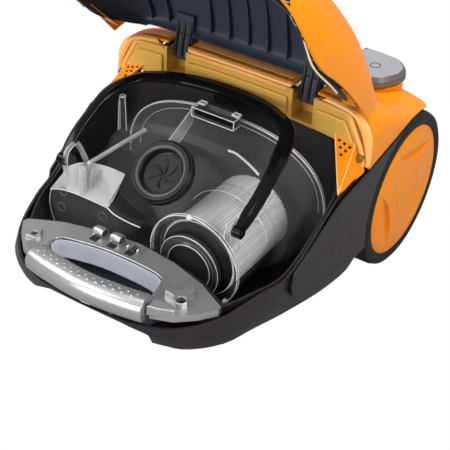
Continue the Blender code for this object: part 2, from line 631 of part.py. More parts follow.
v, f = neck(38, 31.5, -60, -6.2)
join(binb, make('c', v, f, CLEAR))
v, f = cyl('y', (FILTER_X, 0, FILTER_Z), 48.5, BIN_FRONT, BIN_FRONT + 3.4, 28)
join(binb, make('c', v, f, CLEAR))
# hollow insides, one wall inwards
v, f = cyl('y', (LOBE_X, 0, LOBE_Z), LOBE_R - 2.0, BIN_FRONT + 2.2, -40, 24)
cut(binb, make('c', v, f, CLEAR))
v, f = cyl('y', (FILTER_X, 0, FILTER_Z), FILTER_R - 0.2, BIN_FRONT - 5, -40, 28)
cut(binb, make('c', v, f, CLEAR))
v, f = neck(35.4, 29.0, -58, -5)
cut(binb, make('c', v, f, CLEAR))
# lift-out guide post, latch cheeks and the two pivot brackets of the bail
v, f = rings_solid([[(-88 + 5.5 * math.cos(k * math.pi / 5), -40 + 5.5 * math.sin(k * math.pi / 5), 152) for k in range(10)],
                    [(-88 + 3.2 * math.cos(k * math.pi / 5), -40 + 3.2 * math.sin(k * math.pi / 5), 190) for k in range(10)]])
join(binb, make('c', v, f, CLEAR))
for x0, x1 in ((-24, -20.5), (20.5, 24)):
    v, f = box(x0, x1, -10, 1.5, 179.5, 190)
    join(binb, make('c', v, f, CLEAR))
for sx, zb in ((-1, 132.5), (1, 122.3)):
    a, b = sorted((sx * 90.5, sx * 95.0))
    v, f = prism([(-125, 144), (-125, 154), (-121, 158), (-115, 158), (-111, 154), (-104, zb), (-118, zb)], 'x', a, b)
    join(binb, make('c', v, f, CLEAR))
    a, b = sorted((sx * 94.0, sx * 103.5))
    v, f = cyl('x', (0, BAIL_Y, BAIL_Z), 2.8, a, b, 12)
    join(binb, make('c', v, f, CLEAR))

# rear cover of the bin
r0 = superloop(6, 104, 117, 78, 53, 2.5, BK, 2.4)
r1 = superloop(6, 104, 117, 78, 53, 2.5, BK, 5.0)
r2 = superloop(6, 104, 108, 69, 45, 2.5, BK, 7.6)
v, f = rings_solid([r0, r1, r2])
make('bin_rear_cover', v, f, CLEAR)

# inlet ring and its flap
def ring_along(r_in, r_out, a0, a1, n=28):
    v, f = tube('z', (0, 0, 0), r_in, r_out, a0, a1, n)
    return along(v, INLET_C, INLET_N), f


v, f = revolve([(-5.6, 21.0), (-5.6, 31.2), (1.0, 31.2), (4.0, 28.5), (4.0, 23.5), (1.5, 21.0)], 'z', (0, 0, 0), 28)
make('inlet_ring', along(v, INLET_C, INLET_N), f, GLOSSBLACK, INLET_C)
INLET_U = Vector((0, 0.731, 0.682)).normalized()
FLAP_H = INLET_C + INLET_U * 20.0 - INLET_N * 2.4
poly = [(19.4 * math.cos(2 * math.pi * k / 24), 19.4 * math.sin(2 * math.pi * k / 24)) for k in range(24)]
v, f = prism(poly, 'z', -3.0, -1.8)
make('inlet_flap', along(v, INLET_C, INLET_N), f, RUBBER, FLAP_H)

# pleated filter with its end rings
NP = 30
FY0, FY1 = -111.0, -14.0
rings = []
for y in (FY0, FY1):
    ring = []
    for k in range(2 * NP):
        r = 38.5 if k % 2 == 0 else 33.5
        t = math.pi * k / NP
        ring.append((FILTER_X + r * math.cos(t), y, FILTER_Z + r * math.sin(t)))
    rings.append(ring)
irings = []
for y in (FY1, FY0):
    ring = []
    for k in range(2 * NP):
        r = 36.6 if k % 2 == 0 else 31.6
        t = math.pi * k / NP
        ring.append((FILTER_X + r * math.cos(t), y, FILTER_Z + r * math.sin(t)))
    irings.append(ring)
v, f = loop_solid(rings + irings)
make('pleated_filter', v, f, FILTERM)
v, f = revolve([(-118.4, 25.0), (-118.4, 43.2), (-111.5, 43.2), (-111.5, 29.0), (-115.5, 25.0)], 'y', (FILTER_X, 0, FILTER_Z), 28)
make('filter_outlet_ring', v, f, GLOSSBLACK)
v, f = revolve([(-13.5, 0.0), (-13.5, 39.0), (-10.5, 39.0), (-10.5, 0.0)], 'y', (FILTER_X, 0, FILTER_Z), 24)
make('filter_end_cap', v, f, GLOSSBLACK)

# bail handle of the bin
half_path = [(BAIL_X, BAIL_Y, BAIL_Z), (101.5, -104, 163), (102, -84, 176), (98, -48, 196), (85, -16, 201.5), (56, 5, 201), (26, 13.5, 200.5)]
full = half_path + [(0, 15.5, 200.2)] + [(-x, y, z) for x, y, z in reversed(half_path)]
def bail_width(t):
    return 4.0 + 2.3 * min(1.0, min(t, 1.0 - t) / 0.12)


v, f = sweep(spline(full, 2), bail_width, 8, 0.58)
bail = make('bail_handle', v, f, GLOSSBLACK, (0, BAIL_Y, BAIL_Z))
for sx in (-1, 1):
    a, b = sorted((sx * 95.6, sx * 104.4))
    v, f = cyl('x', (0, BAIL_Y, BAIL_Z), 5.6, a, b, 14)
    join(bail, make('c', v, f, GLOSSBLACK, (0, BAIL_Y, BAIL_Z)))
for sx in (-1, 1):
    a, b = sorted((sx * 92.0, sx * 107.0))
    v, f = cyl('x', (0, BAIL_Y, BAIL_Z), 2.98, a, b, 12)
    cut(bail, make('c', v, f, GLOSSBLACK, (0, BAIL_Y, BAIL_Z)))

# latch button on the bin
v, f = prism([(-9.5, 186.6), (-9.5, 189), (-6, 193), (0, 193.6), (1.5, 191.5), (1.5, 186.6)], 'x', -20.1, 20.1)
latch = make('bin_latch', v, f, BLACK, (0, -4, 186.6))

# ------------------------------------------------------------------ lid (drawn closed, then stood open)
LS = [(25, 147.5, 186, 231, 3.6), (5, 147.5, 175, 234, 3.3), (-16, 147, 163, 235.5, 3.1), (-50, 145.5, 141.5, 232, 2.9), (-86, 142.5, 116, 219, 2.7),
      (-118, 135, 108.5, 198, 2.6), (-140, 126, 107, 172, 2.5), (-153, 116, 106.3, 146, 2.5), (-160, 107, 106, 122, 2.4), (-162, 103, 106, 108.5, 2.4)]
LK = 18
grid = [usection(y, w, b, t, n, LK) for y, w, b, t, n in LS]
v, f = sheet(grid, -2.4)
HO = (0, HINGE_Y, HINGE_Z)
lid = make('lid_shell', opened(v), f, YELLOW, HO)


def port_tool(r, a0, a1, n=24):
    poly = [(r * math.cos(2 * math.pi * k / n), r * math.sin(2 * math.pi * k / n)) for k in range(n)]
    v, f = prism(poly, 'z', a0, a1)
    return opened(along(v, INLET_C, INLET_N)), f


v, f = port_tool(31.4, 15, 75)
cut(lid, make('c', v, f, YELLOW, HO))

LL = [(22.5, 118, 204.5, 209, 6.0), (20.0, 124, 201, 216.5, 5.0), (12, 129.5, 190.0, 222, 4.2), (-16, 138.6, 158.6, 224, 3.1), (-50, 138.0, 136.5, 221, 2.9), (-86, 135.6, 114.5, 208.5, 2.7),
      (-116, 130.2, 110.5, 190, 2.7), (-136, 121, 109.4, 166.5, 2.6), (-146, 110, 109.0, 141, 2.5), (-151.5, 98.5, 108.8, 117, 2.4)]
grid = [usection(y, w, b, t, n, LK) for y, w, b, t, n in LL]
v, f = sheet(grid, -2.0)
liner = make('lid_liner', opened(v), f, SLATE, HO)
v, f = port_tool(31.4, 10, 75)
cut(liner, make('c', v, f, SLATE, HO))
for sx in (-1, 1):
    a, b = sorted((sx * ARM_X0, sx * ARM_X1))
    arm = [(50.4, 205), (48.8, 208.8), (45, 210.6), (30, 216), (16, 220.5), (2, 221.4), (2, 216), (18, 211), (34, 203.5), (41, 201.2), (45, 199.6), (48.8, 201.2)]
    v, f = prism(arm, 'x', a, b)
    join(liner, make('c', opened(v), f, SLATE, HO))
    a, b = sorted((sx * 60.0, sx * 88.0))
    v, f = cyl('x', (0, HINGE_Y, HINGE_Z), 2.12, a, b, 12)
    cut(liner, make('c', v, f, SLATE, HO))
for nm, sx in (('hinge_pin_right', 1), ('hinge_pin_left', -1)):
    a, b = sorted((sx * 58.8, sx * 89.2))
    v, f = cyl('x', (0, HINGE_Y, HINGE_Z), 2.0, a, b, 12)
    make(nm, v, f, STEEL)

edge = [(w, y, b) for y, w, b, t, n in LS[3:-2]] + [(105, -157.8, 106), (97, -161.0, 106), (60, -161.2, 106), (-60, -161.2, 106)]
rim = []
for k in range(len(edge) - 1):
    p, q = edge[max(k - 1, 0)], edge[k + 1]
    d = Vector((q[0] - p[0], q[1] - p[1])).normalized()
    rim.append((edge[k][0] + 4.3 * d.y, edge[k][1] - 4.3 * d.x, edge[k][2] + 1.3))
path = rim + [(-x, y, z) for x, y, z in reversed(rim)]
v, f = sweep(path, 0.9, 6)
make('lid_seal', opened(v), f, RUBBER, HO)

v, f = revolve([(8.0, 22.0), (8.0, 27.0), (12.0, 31.0), (47.0, 31.0), (47.0, 22.0)], 'z', (0, 0, 0), 48)
make('hose_port', opened(along(v, INLET_C, INLET_N)), f, BLACK, HO)
v, f = tube('z', (0, 0, 0), 22.4, 28.5, 4.8, 7.6, 24)
make('hose_port_seal', opened(along(v, INLET_C, INLET_N)), f, RUBBER, HO)

LATCH_H = opened([(0, -135.4, 148)])[0]
v, f = prism([(-137.0, 152.0), (-133.8, 152.0), (-133.8, 93.4), (-138.6, 93.4), (-138.6, 96.0), (-137.0, 97.6)], 'x', -3.0, 3.0)
ll = make('lid_latch', opened(v), f, BLACK, LATCH_H)

# ------------------------------------------------------------------ fan motor
MC = (MOTOR_X, 0, MOTOR_Z)
v, f = cyl('y', MC, 23.6, 24.9, 27.2, 24)
gr = make('motor_inlet_grille', v, f, BLACK)
for k in range(6):
    a = math.radians(60 * k)
    v, f = cyl('y', (MOTOR_X + 13.5 * math.cos(a), 0, MOTOR_Z + 13.5 * math.sin(a)), 5.0, 20, 32, 8)
    cut(gr, make('c', v, f, BLACK))
v, f = tube('y', MC, 24.0, 30.0, 29.2, 40.4, 24)
make('motor_seal', v, f, RUBBER)
v, f = revolve([(41, 24), (41, 47), (44, 50), (150, 50), (150, 30), (147.5, 30), (147.5, 47.6), (43.5, 47.6), (43.5, 24)], 'y', MC, 28)
make('motor_housing', v, f, BLACK)
v, f = revolve([(68, 4.1), (68, 30), (74, 37), (134, 37), (140, 30), (140, 4.1)], 'y', MC, 24)
make('motor', v, f, COPPER)
v, f = cyl('y', MC, 4.0, 47.0, 144.0, 12)
make('motor_shaft', v, f, STEEL, MC)
v, f = revolve([(50, 4.02), (50, 9), (57.5, 13), (59, 43), (61, 43), (61, 4.02)], 'y', MC, 24)
fan = make('impeller', v, f, GREY, MC)
for k in range(6):
    q = Matrix.Rotation(math.radians(60 * k + 12), 4, 'Y')
    w = []
    for dx, dz in ((10, -0.8), (41, -0.8), (41, 0.8), (10, 0.8)):
        p0 = q @ Vector((dx, 0, dz))
        w.append((MOTOR_X + p0.x, MOTOR_Z + p0.z))
    v, f = prism(w, 'y', 52.0, 60.0)
    join(fan, make('c', v, f, GREY, MC))

# ------------------------------------------------------------------ cord reel (drawn without the cord)
REEL = (0, 100, 92)
v, f = revolve([(-82, 6.09), (-82, 50), (-79.5, 50), (-79.5, 24), (-34.5, 24), (-34.5, 50), (-32, 50), (-32, 6.09)], 'x', REEL, 28)
make('cord_reel', v, f, BLACK, (-57, 100, 92))
v, f = revolve([(-101.0, 0.0), (-101.0, 11.0), (-98.6, 11.0), (-98.6, 6.0), (-26, 6.0), (-26, 0.0)], 'x', REEL, 14)
make('reel_axle', v, f, STEEL)
v, f = revolve([(211, 4.5), (211, 8.0), (219.6, 8.0), (219.6, 11.0), (221.6, 10.0), (221.6, 4.5)], 'y', (-62, 0, 80), 16)
make('cord_outlet', v, f, BLACK)

# ------------------------------------------------------------------ switch, board, exhaust
v, f = box(67, 85, 171, 189, 131.6, 146.6)
make('power_switch', v, f, WHITE)
v, f = box(56, 97, 158, 196, 129.4, 131.0)
make('control_board', v, f, GREEN)
v, f = box(-30, 30, 164, 205, 128, 142)
make('exhaust_filter', v, f, FILTERM)
v, f = box(-33, 33, 160, 209, 140, 200)
cut(cover, make('c', v, f, YELLOW))
gz = [(160.6, 170.0), (175, 173.5), (192, 172.0), (208.4, 165.5)]
rows = [[(x, y, z + dz) for x, dz in ((32.5, -3.0), (22, 0), (0, 1.0), (-22, 0), (-32.5, -3.0))] for y, z in gz]
v, f = sheet(rows, 3.0)
gr = make('exhaust_grille', v, f, GREY)
for k in range(6):
    y0 = 165.0 + 6.6 * k
    v, f = box(-25, 25, y0, y0 + 3.0, 150, 190)
    cut(gr, make('c', v, f, GREY))
coil('power_pedal_spring', (76, 180), 6.0, 0.7, 151.0, 157.0, 2.5, STEEL)
coil('rewind_pedal_spring', (-76, 180), 6.0, 0.7, 151.0, 157.0, 2.5, STEEL)
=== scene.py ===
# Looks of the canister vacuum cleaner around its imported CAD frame.
# Lengths in the geometry part are millimetres in the frame of the CAD.
import bpy
import bmesh
import json
import math
from mathutils import Vector, Matrix


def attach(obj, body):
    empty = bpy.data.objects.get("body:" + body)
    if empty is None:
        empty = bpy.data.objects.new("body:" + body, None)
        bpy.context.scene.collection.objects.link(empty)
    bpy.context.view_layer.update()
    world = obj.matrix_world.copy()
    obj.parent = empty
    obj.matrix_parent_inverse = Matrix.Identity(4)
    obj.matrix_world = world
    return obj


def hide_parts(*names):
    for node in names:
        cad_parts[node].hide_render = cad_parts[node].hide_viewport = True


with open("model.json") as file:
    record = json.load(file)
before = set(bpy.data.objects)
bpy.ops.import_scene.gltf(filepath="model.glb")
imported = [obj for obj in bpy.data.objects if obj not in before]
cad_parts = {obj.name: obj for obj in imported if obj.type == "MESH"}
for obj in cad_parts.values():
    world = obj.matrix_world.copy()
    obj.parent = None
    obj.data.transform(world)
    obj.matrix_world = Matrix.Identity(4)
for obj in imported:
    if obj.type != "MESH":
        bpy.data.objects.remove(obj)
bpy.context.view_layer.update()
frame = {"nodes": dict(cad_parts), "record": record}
MM = 0.001
NR = 3
BUILT = {}

# ------------------------------------------------------------------ driving sizes
WHEEL_Y, WHEEL_Z, TYRE_R = 130.0, 85.5, 85.5
HUB_R = 71.6
WHEEL_IN, WHEEL_OUT = 111.0, 152.0          # inner and outer tyre faces, |x|
AXLE_R = 5.0
CASTER_Y, CASTER_R = -92.0, 10.5
HINGE_Y, HINGE_Z = 45.0, 205.0              # lid hinge axis (along X)
LID_OPEN = 75.0                             # degrees the lid stands open at rest
ARM_X0, ARM_X1 = 64.2, 84.0                 # hinge arm, |x|
SLOT_X0, SLOT_X1 = 62.5, 85.7               # notch in the bulkhead, |x|
INLET_C = Vector((0.0, -95.0, 163.0))
INLET_N = Vector((0.0, -0.682, 0.731)).normalized()
FILTER_X, FILTER_Z, FILTER_R = 54.0, 97.5, 44.0
BAIL_Y, BAIL_Z, BAIL_X = -118.0, 151.0, 100.0
PEDAL_TRAVEL = 2.5

# ------------------------------------------------------------------ materials
def pmat(name, rgb, rgb2=None, rough=0.4, rough2=None, metal=0.0, scale=60.0, grain=900.0, bump=0.05,
         coat=0.0, trans=0.0, alpha=1.0, ior=1.5, detail=3.0, stretch=None, spec=0.5):
    # moulded or metal surface: slow colour drift, roughness drift and a fine grain in the normal
    m = bpy.data.materials.new(name)
    m.use_nodes = True
    nt = m.node_tree
    b = nt.nodes['Principled BSDF']
    L = nt.links.new
    tc = nt.nodes.new('ShaderNodeTexCoord')
    src = tc.outputs['Object']
    if stretch is not None:
        mp = nt.nodes.new('ShaderNodeMapping')
        mp.inputs['Scale'].default_value = stretch
        L(src, mp.inputs['Vector'])
        src = mp.outputs['Vector']
    n1 = nt.nodes.new('ShaderNodeTexNoise')
    n1.inputs['Scale'].default_value = scale
    n1.inputs['Detail'].default_value = detail
    L(src, n1.inputs['Vector'])
    mx = nt.nodes.new('ShaderNodeMix')
    mx.data_type = 'RGBA'
    mx.inputs[6].default_value = (*rgb, 1)
    q = rgb2 if rgb2 is not None else tuple(c * 0.93 for c in rgb)
    mx.inputs[7].default_value = (*q, 1)
    L(n1.outputs['Fac'], mx.inputs[0])
    L(mx.outputs[2], b.inputs['Base Color'])
    mr = nt.nodes.new('ShaderNodeMapRange')
    mr.inputs['From Min'].default_value = 0.3
    mr.inputs['From Max'].default_value = 0.7
    mr.inputs['To Min'].default_value = rough
    mr.inputs['To Max'].default_value = rough2 if rough2 is not None else rough * 1.15
    L(n1.outputs['Fac'], mr.inputs['Value'])
    L(mr.outputs['Result'], b.inputs['Roughness'])
    if bump > 0:
        n2 = nt.nodes.new('ShaderNodeTexNoise')
        n2.inputs['Scale'].default_value = grain
        n2.inputs['Detail'].default_value = 2.0
        L(src, n2.inputs['Vector'])
        bp = nt.nodes.new('ShaderNodeBump')
        bp.inputs['Strength'].default_value = bump
        bp.inputs['Distance'].default_value = 0.0003
        L(n2.outputs['Fac'], bp.inputs['Height'])
        L(bp.outputs['Normal'], b.inputs['Normal'])
    b.inputs['Metallic'].default_value = metal
    b.inputs['Specular IOR Level'].default_value = spec
    b.inputs['Coat Weight'].default_value = coat
    b.inputs['Coat Roughness'].default_value = 0.06
    b.inputs['Transmission Weight'].default_value = trans
    b.inputs['IOR'].default_value = ior
    b.inputs['Alpha'].default_value = alpha
    m.diffuse_color = (*rgb, 1)
    return m


YELLOW = pmat('m_yellow_gloss', (0.88, 0.265, 0.006), (0.84, 0.25, 0.005), 0.26, 0.32, bump=0.02, coat=0.03, scale=12, spec=0.18)
GOLD = pmat('m_gold_satin', (0.72, 0.42, 0.085), (0.66, 0.37, 0.07), 0.36, 0.44, metal=0.20, bump=0.10, grain=1400, spec=0.3)
BLACK = pmat('m_black_satin', (0.020, 0.0162, 0.0178), (0.025, 0.0200, 0.0220), 0.32, 0.42, bump=0.12, grain=1500, spec=0.24)
GLOSSBLACK = pmat('m_black_gloss', (0.003, 0.003, 0.0034), (0.005, 0.005, 0.0055), 0.10, 0.16, bump=0.01, spec=0.14)
SLATE = pmat('m_slate', (0.026, 0.034, 0.052), (0.034, 0.044, 0.062), 0.42, 0.52, bump=0.12, grain=1300, spec=0.35)
SILVER = pmat('m_silver_satin', (0.46, 0.456, 0.452), (0.41, 0.406, 0.402), 0.28, 0.36, metal=0.75, bump=0.08, grain=2200)
GREY = pmat('m_grey_satin', (0.33, 0.335, 0.36), (0.29, 0.295, 0.32), 0.36, 0.44, metal=0.1, bump=0.06, grain=1800, spec=0.35)
CLEAR = pmat('m_clear', (0.34, 0.345, 0.35), (0.28, 0.285, 0.29), 0.22, 0.30, bump=0.0, alpha=0.062, spec=0.5)
RUBBER = pmat('m_rubber', (0.008, 0.0075, 0.0075), (0.012, 0.0115, 0.0115), 0.55, 0.65, bump=0.20, grain=800, spec=0.3)
FILTERM = pmat('m_filter_paper', (0.95, 0.95, 0.96), (0.90, 0.91, 0.92), 0.60, 0.72, bump=0.10, grain=700, scale=40)
STEEL = pmat('m_steel', (0.58, 0.58, 0.58), (0.50, 0.50, 0.50), 0.22, 0.34, metal=1.0, bump=0.06, stretch=(1, 12, 12))
WHITE = pmat('m_white', (0.75, 0.75, 0.73), None, 0.4)
GREEN = pmat('m_board', (0.02, 0.20, 0.07), None, 0.5)
COPPER = pmat('m_motor', (0.50, 0.50, 0.51), None, 0.35, metal=1.0)

# ------------------------------------------------------------------ mesh helpers
def make(name, verts, faces, material, origin=(0, 0, 0), smooth=False):
    o = Vector((0, 0, 0))
    me = bpy.data.meshes.new(name)
    me.from_pydata([tuple((Vector(v) - o) * MM) for v in verts], [], faces)
    bm = bmesh.new()
    bm.from_mesh(me)
    bmesh.ops.remove_doubles(bm, verts=bm.verts, dist=1e-6)
    bmesh.ops.recalc_face_normals(bm, faces=bm.faces)
    if bm.calc_volume(signed=True) < 0:
        bmesh.ops.reverse_faces(bm, faces=bm.faces)
    bm.to_mesh(me)
    bm.free()
    ob = bpy.data.objects.new('v_' + name, me)
    if name != 'c':
        BUILT[name] = ob
    ob.location = o * MM
    bpy.context.collection.objects.link(ob)
    me.materials.append(material)
    if smooth:
        for p in me.polygons:
            p.use_smooth = True
    return ob


def combine(a, b, op='DIFFERENCE', solver='EXACT'):
    m = a.modifiers.new('cut', 'BOOLEAN')
    m.operation = op
    m.solver = solver
    m.object = b
    bpy.context.view_layer.update()
    dg = bpy.context.evaluated_depsgraph_get()
    me = bpy.data.meshes.new_from_object(a.evaluated_get(dg))
    a.modifiers.clear()
    keep = a.data.materials[0]
    a.data = me
    me.materials.clear()
    me.materials.append(keep)
    for p in me.polygons:
        p.material_index = 0
    bpy.data.objects.remove(b, do_unlink=True)
    return a


def cut(a, b):
    return combine(a, b, 'DIFFERENCE')


def join(a, b):
    return combine(a, b, 'UNION')


def bridge(faces, a, b, n, closed=True):
    for i in range(n if closed else n - 1):
        j = (i + 1) % n
        faces.append((a + i, a + j, b + j, b + i))


def rings_solid(rings, cap=True):
    # stack of equal closed rings, flat cap at both ends
    n = len(rings[0])
    verts = [p for r in rings for p in r]
    faces = []
    for k in range(len(rings) - 1):
        bridge(faces, k * n, (k + 1) * n, n)
    if cap:
        faces.append(tuple(range(n)))
        faces.append(tuple(range((len(rings) - 1) * n, len(rings) * n)))
    return verts, faces


def loop_solid(rings):
    # rings that close on themselves (first ring joins the last one)
    n = len(rings[0])
    verts = [p for r in rings for p in r]
    faces = []
    m = len(rings)
    for k in range(m):
        bridge(faces, k * n, ((k + 1) % m) * n, n)
    return verts, faces


def box(x0, x1, y0, y1, z0, z1):
    v = [(x, y, z) for x in (x0, x1) for y in (y0, y1) for z in (z0, z1)]
    f = [(0, 1, 3, 2), (4, 6, 7, 5), (0, 4, 5, 1), (2, 3, 7, 6), (0, 2, 6, 4), (1, 5, 7, 3)]
    return v, f


def prism(poly, axis, a0, a1):
    def p3(u, w, a):
        return {'x': (a, u, w), 'y': (u, a, w), 'z': (u, w, a)}[axis]
    r0 = [p3(u, w, a0) for u, w in poly]
    r1 = [p3(u, w, a1) for u, w in poly]
    return rings_solid([r0, r1])


def revolve(profile, axis, c, n, a_phase=0.0):
    n = n * NR
    # profile: closed list of (along, radius); points with radius 0 collapse to a pole
    rings = []
    for k in range(n):
        t = 2 * math.pi * (k + a_phase) / n
        ct, st = math.cos(t), math.sin(t)
        ring = []
        for a, r in profile:
            if axis == 'x':
                ring.append((c[0] + a, c[1] + r * ct, c[2] + r * st))
            elif axis == 'y':
                ring.append((c[0] + r * ct, c[1] + a, c[2] + r * st))
            else:
                ring.append((c[0] + r * ct, c[1] + r * st, c[2] + a))
        rings.append(ring)
    v, f = loop_solid(rings)
    m = len(profile)
    # the stretch between two axis points is no surface
    f = [q for q in f if not all(profile[i % m][1] == 0.0 for i in q)]
    return v, f


def along(v, frame_o, n_dir):
    # turns points drawn about the Z axis at the origin so that Z points along n_dir
    q = Vector((0, 0, 1)).rotation_difference(n_dir)
    return [tuple(q @ Vector(p) + frame_o) for p in v]


def cyl(axis, c, r, a0, a1, n=20):
    n = n * NR
    poly = [(r * math.cos(2 * math.pi * k / n), r * math.sin(2 * math.pi * k / n)) for k in range(n)]
    if axis == 'x':
        poly = [(c[1] + u, c[2] + w) for u, w in poly]
    elif axis == 'y':
        poly = [(c[0] + u, c[2] + w) for u, w in poly]
    else:
        poly = [(c[0] + u, c[1] + w) for u, w in poly]
    return prism(poly, axis, a0, a1)


def tube(axis, c, r0, r1, a0, a1, n=24):
    return revolve([(a0, r0), (a0, r1), (a1, r1), (a1, r0)], axis, c, n)


def spline(pts, k):
    k = k * 2
    # Catmull-Rom through pts, k steps per span
    out = []
    n = len(pts)
    dim = len(pts[0])
    for i in range(n - 1):
        p0 = pts[max(i - 1, 0)]
        p1, p2 = pts[i], pts[i + 1]
        p3 = pts[min(i + 2, n - 1)]
        for s in range(k):
            t = s / k
            out.append(tuple(0.5 * ((2 * p1[d]) + (-p0[d] + p2[d]) * t
                       + (2 * p0[d] - 5 * p1[d] + 4 * p2[d] - p3[d]) * t * t
                       + (-p0[d] + 3 * p1[d] - 3 * p2[d] + p3[d]) * t ** 3) for d in range(dim)))
    out.append(tuple(pts[-1]))
    return out


def mirror_ring(half):
    # half outline from the front centre (x = 0) to the rear centre (x = 0), closed over -x
    return list(half) + [(-p[0],) + tuple(p[1:]) for p in reversed(half[1:-1])]


def offset(ring, d):
    # moves a closed outline inwards by d in the XY plane, z kept
    n = len(ring)
    out = []
    for i in range(n):
        p, a, b = ring[i], ring[i - 1], ring[(i + 1) % n]
        e1 = Vector((p[0] - a[0], p[1] - a[1]))
        e2 = Vector((b[0] - p[0], b[1] - p[1]))
        if e1.length < 1e-6:
            e1 = e2
        if e2.length < 1e-6:
            e2 = e1
        e1.normalize()
        e2.normalize()
        n1 = Vector((-e1.y, e1.x))
        n2 = Vector((-e2.y, e2.x))
        m = (n1 + n2)
        if m.length < 1e-6:
            m = n1.copy()
        m.normalize()
        k = max(m.dot(n1), 0.5)
        out.append((p[0] + m.x * d / k, p[1] + m.y * d / k) + tuple(p[2:]))
    return out


def at_z(ring, z):
    return [(p[0], p[1], z) for p in ring]


def cup(outer, inner):
    # outer rings bottom to rim, inner rings rim to floor
    return rings_solid(list(outer) + list(inner))


def usection(y, w, b, t, n, k, y_top=None):
    # arch across X: from the right lower edge over the top to the left lower edge
    pts = []
    yt = y if y_top is None else y_top
    for i in range(k + 1):
        ph = math.pi * i / k
        c, s = math.cos(ph), max(math.sin(ph), 0.0)
        x = w * math.copysign(abs(c) ** (2.0 / n), c)
        f = s ** (2.0 / n)
        pts.append((x, y + (yt - y) * f, b + (t - b) * f))
    return pts


def sheet(grid, t):
    # thickens an open grid of points by t against its normal; one closed solid
    S, K = len(grid), len(grid[0])
    G = [[Vector(p) for p in row] for row in grid]
    N = []
    for i in range(S):
        row = []
        for j in range(K):
            du = G[min(i + 1, S - 1)][j] - G[max(i - 1, 0)][j]
            dv = G[i][min(j + 1, K - 1)] - G[i][max(j - 1, 0)]
            nn = du.cross(dv)
            if nn.length < 1e-9:
                nn = Vector((0, 0, 1))
            row.append(nn.normalized())
        N.append(row)
    verts = [tuple(G[i][j]) for i in range(S) for j in range(K)]
    verts += [tuple(G[i][j] - N[i][j] * t) for i in range(S) for j in range(K)]
    off = S * K
    f = []
    for i in range(S - 1):
        for j in range(K - 1):
            a = i * K + j
            f.append((a, a + 1, a + K + 1, a + K))
            f.append((off + a, off + a + K, off + a + K + 1, off + a + 1))
    for j in range(K - 1):
        f.append((j, off + j, off + j + 1, j + 1))
        a = (S - 1) * K + j
        f.append((a, a + 1, off + a + 1, off + a))
    for i in range(S - 1):
        a = i * K
        f.append((a, a + K, off + a + K, off + a))
        a = i * K + K - 1
        f.append((a, off + a, off + a + K, a + K))
    return verts, f


def opened(v):
    # lid points drawn closed -> standing open at rest
    c, s = math.cos(math.radians(LID_OPEN)), math.sin(math.radians(LID_OPEN))
    out = []
    for p in v:
        dy, dz = p[1] - HINGE_Y, p[2] - HINGE_Z
        out.append((p[0], HINGE_Y + dy * c + dz * s, HINGE_Z - dy * s + dz * c))
    return out


def sweep(path, r, n=8, flat=1.0):
    # round or oval bar along a list of points; r may be one radius or a function of the share of the way
    P = [Vector(p) for p in path]
    rings = []
    up = Vector((0, 0, 1))
    for i, p in enumerate(P):
        d = (P[min(i + 1, len(P) - 1)] - P[max(i - 1, 0)]).normalized()
        a = d.cross(up)
        if a.length < 1e-3:
            a = Vector((1, 0, 0))
        a.normalize()
        b = a.cross(d).normalized()
        h = r(i / (len(P) - 1.0)) if callable(r) else r
        rings.append([tuple(p + a * h * math.cos(2 * math.pi * k / n) + b * h * flat * math.sin(2 * math.pi * k / n))
                      for k in range(n)])
    return rings_solid(rings)


# ------------------------------------------------------------------ hull
def half(front, rear):
    # the three innermost stations stay sharp (edge of the recess between the bumper lobes)
    return list(front[:3]) + spline(front[3:], 2) + rear


H26 = half([(0, -158, 26), (48, -158, 26), (52, -158.5, 26), (58, -157.5, 26), (72, -150, 26), (92, -128, 26), (103, -95, 26), (118, -50, 26), (128, -10, 26), (133, 25, 26)],
           [(133, 39, 26), (100, 43.5, 26), (100, 120, 26), (100, 160, 26), (99, 190, 26), (85, 205, 26), (0, 211, 26)])
H32 = half([(0, -166, 32), (49, -166, 32), (54, -168, 32), (61, -168.5, 32), (79, -160, 32), (100, -135, 32), (112, -95, 32), (126, -50, 32), (135, -10, 32), (139, 25, 32)],
           [(139, 39, 32), (102, 43.5, 32), (102, 120, 32), (102, 160, 32), (101, 195, 32), (88, 210, 32), (0, 216, 32)])
H50 = half([(0, -176, 50), (50, -176, 50), (55, -185, 50), (63, -187.5, 50), (87, -177, 50), (111, -151, 50), (123, -115, 50), (136.5, -68, 50), (144, -15, 50), (145.5, 25, 50)],
           [(145.5, 39, 50), (104, 43.5, 50), (104, 120, 50), (104, 160, 50), (104, 198, 50), (90, 214, 50), (0, 220, 50)])
H59 = half([(0, -179, 59), (50, -179, 59), (55, -193, 59), (63, -197.2, 59), (90, -187, 59), (117, -160, 59), (128.5, -119, 59), (138.5, -71, 59), (144.5, -15, 59), (146, 25, 59)],
           [(146, 39, 59), (104, 43.5, 59), (104, 120, 59), (104, 160, 59), (104, 199, 59), (90, 215, 59), (0, 221, 59)])
H63 = half([(0, -210, 63), (50, -205.6, 63), (55, -204.0, 63), (63, -201.6, 63), (91, -192, 63), (119.5, -164, 63), (130.5, -121, 63), (139.3, -73, 63), (144.8, -15, 63), (146, 25, 63)],
           [(146, 39, 63), (104, 43.5, 63), (104, 120, 63), (104, 160, 63), (104, 199, 63), (90, 215.5, 63), (0, 221.5, 63)])
H75 = half([(0, -215, 75), (50, -211.0, 75), (55, -209.7, 75), (63, -207.3, 75), (91, -197, 75), (121, -168, 75), (134, -122, 75), (141, -78, 75), (145, -15, 75), (146, 25, 75)],
           [(146, 39, 75), (104, 43.5, 75), (104, 120, 75), (104, 160, 75), (104, 200, 75), (90, 216, 75), (0, 222, 75)])
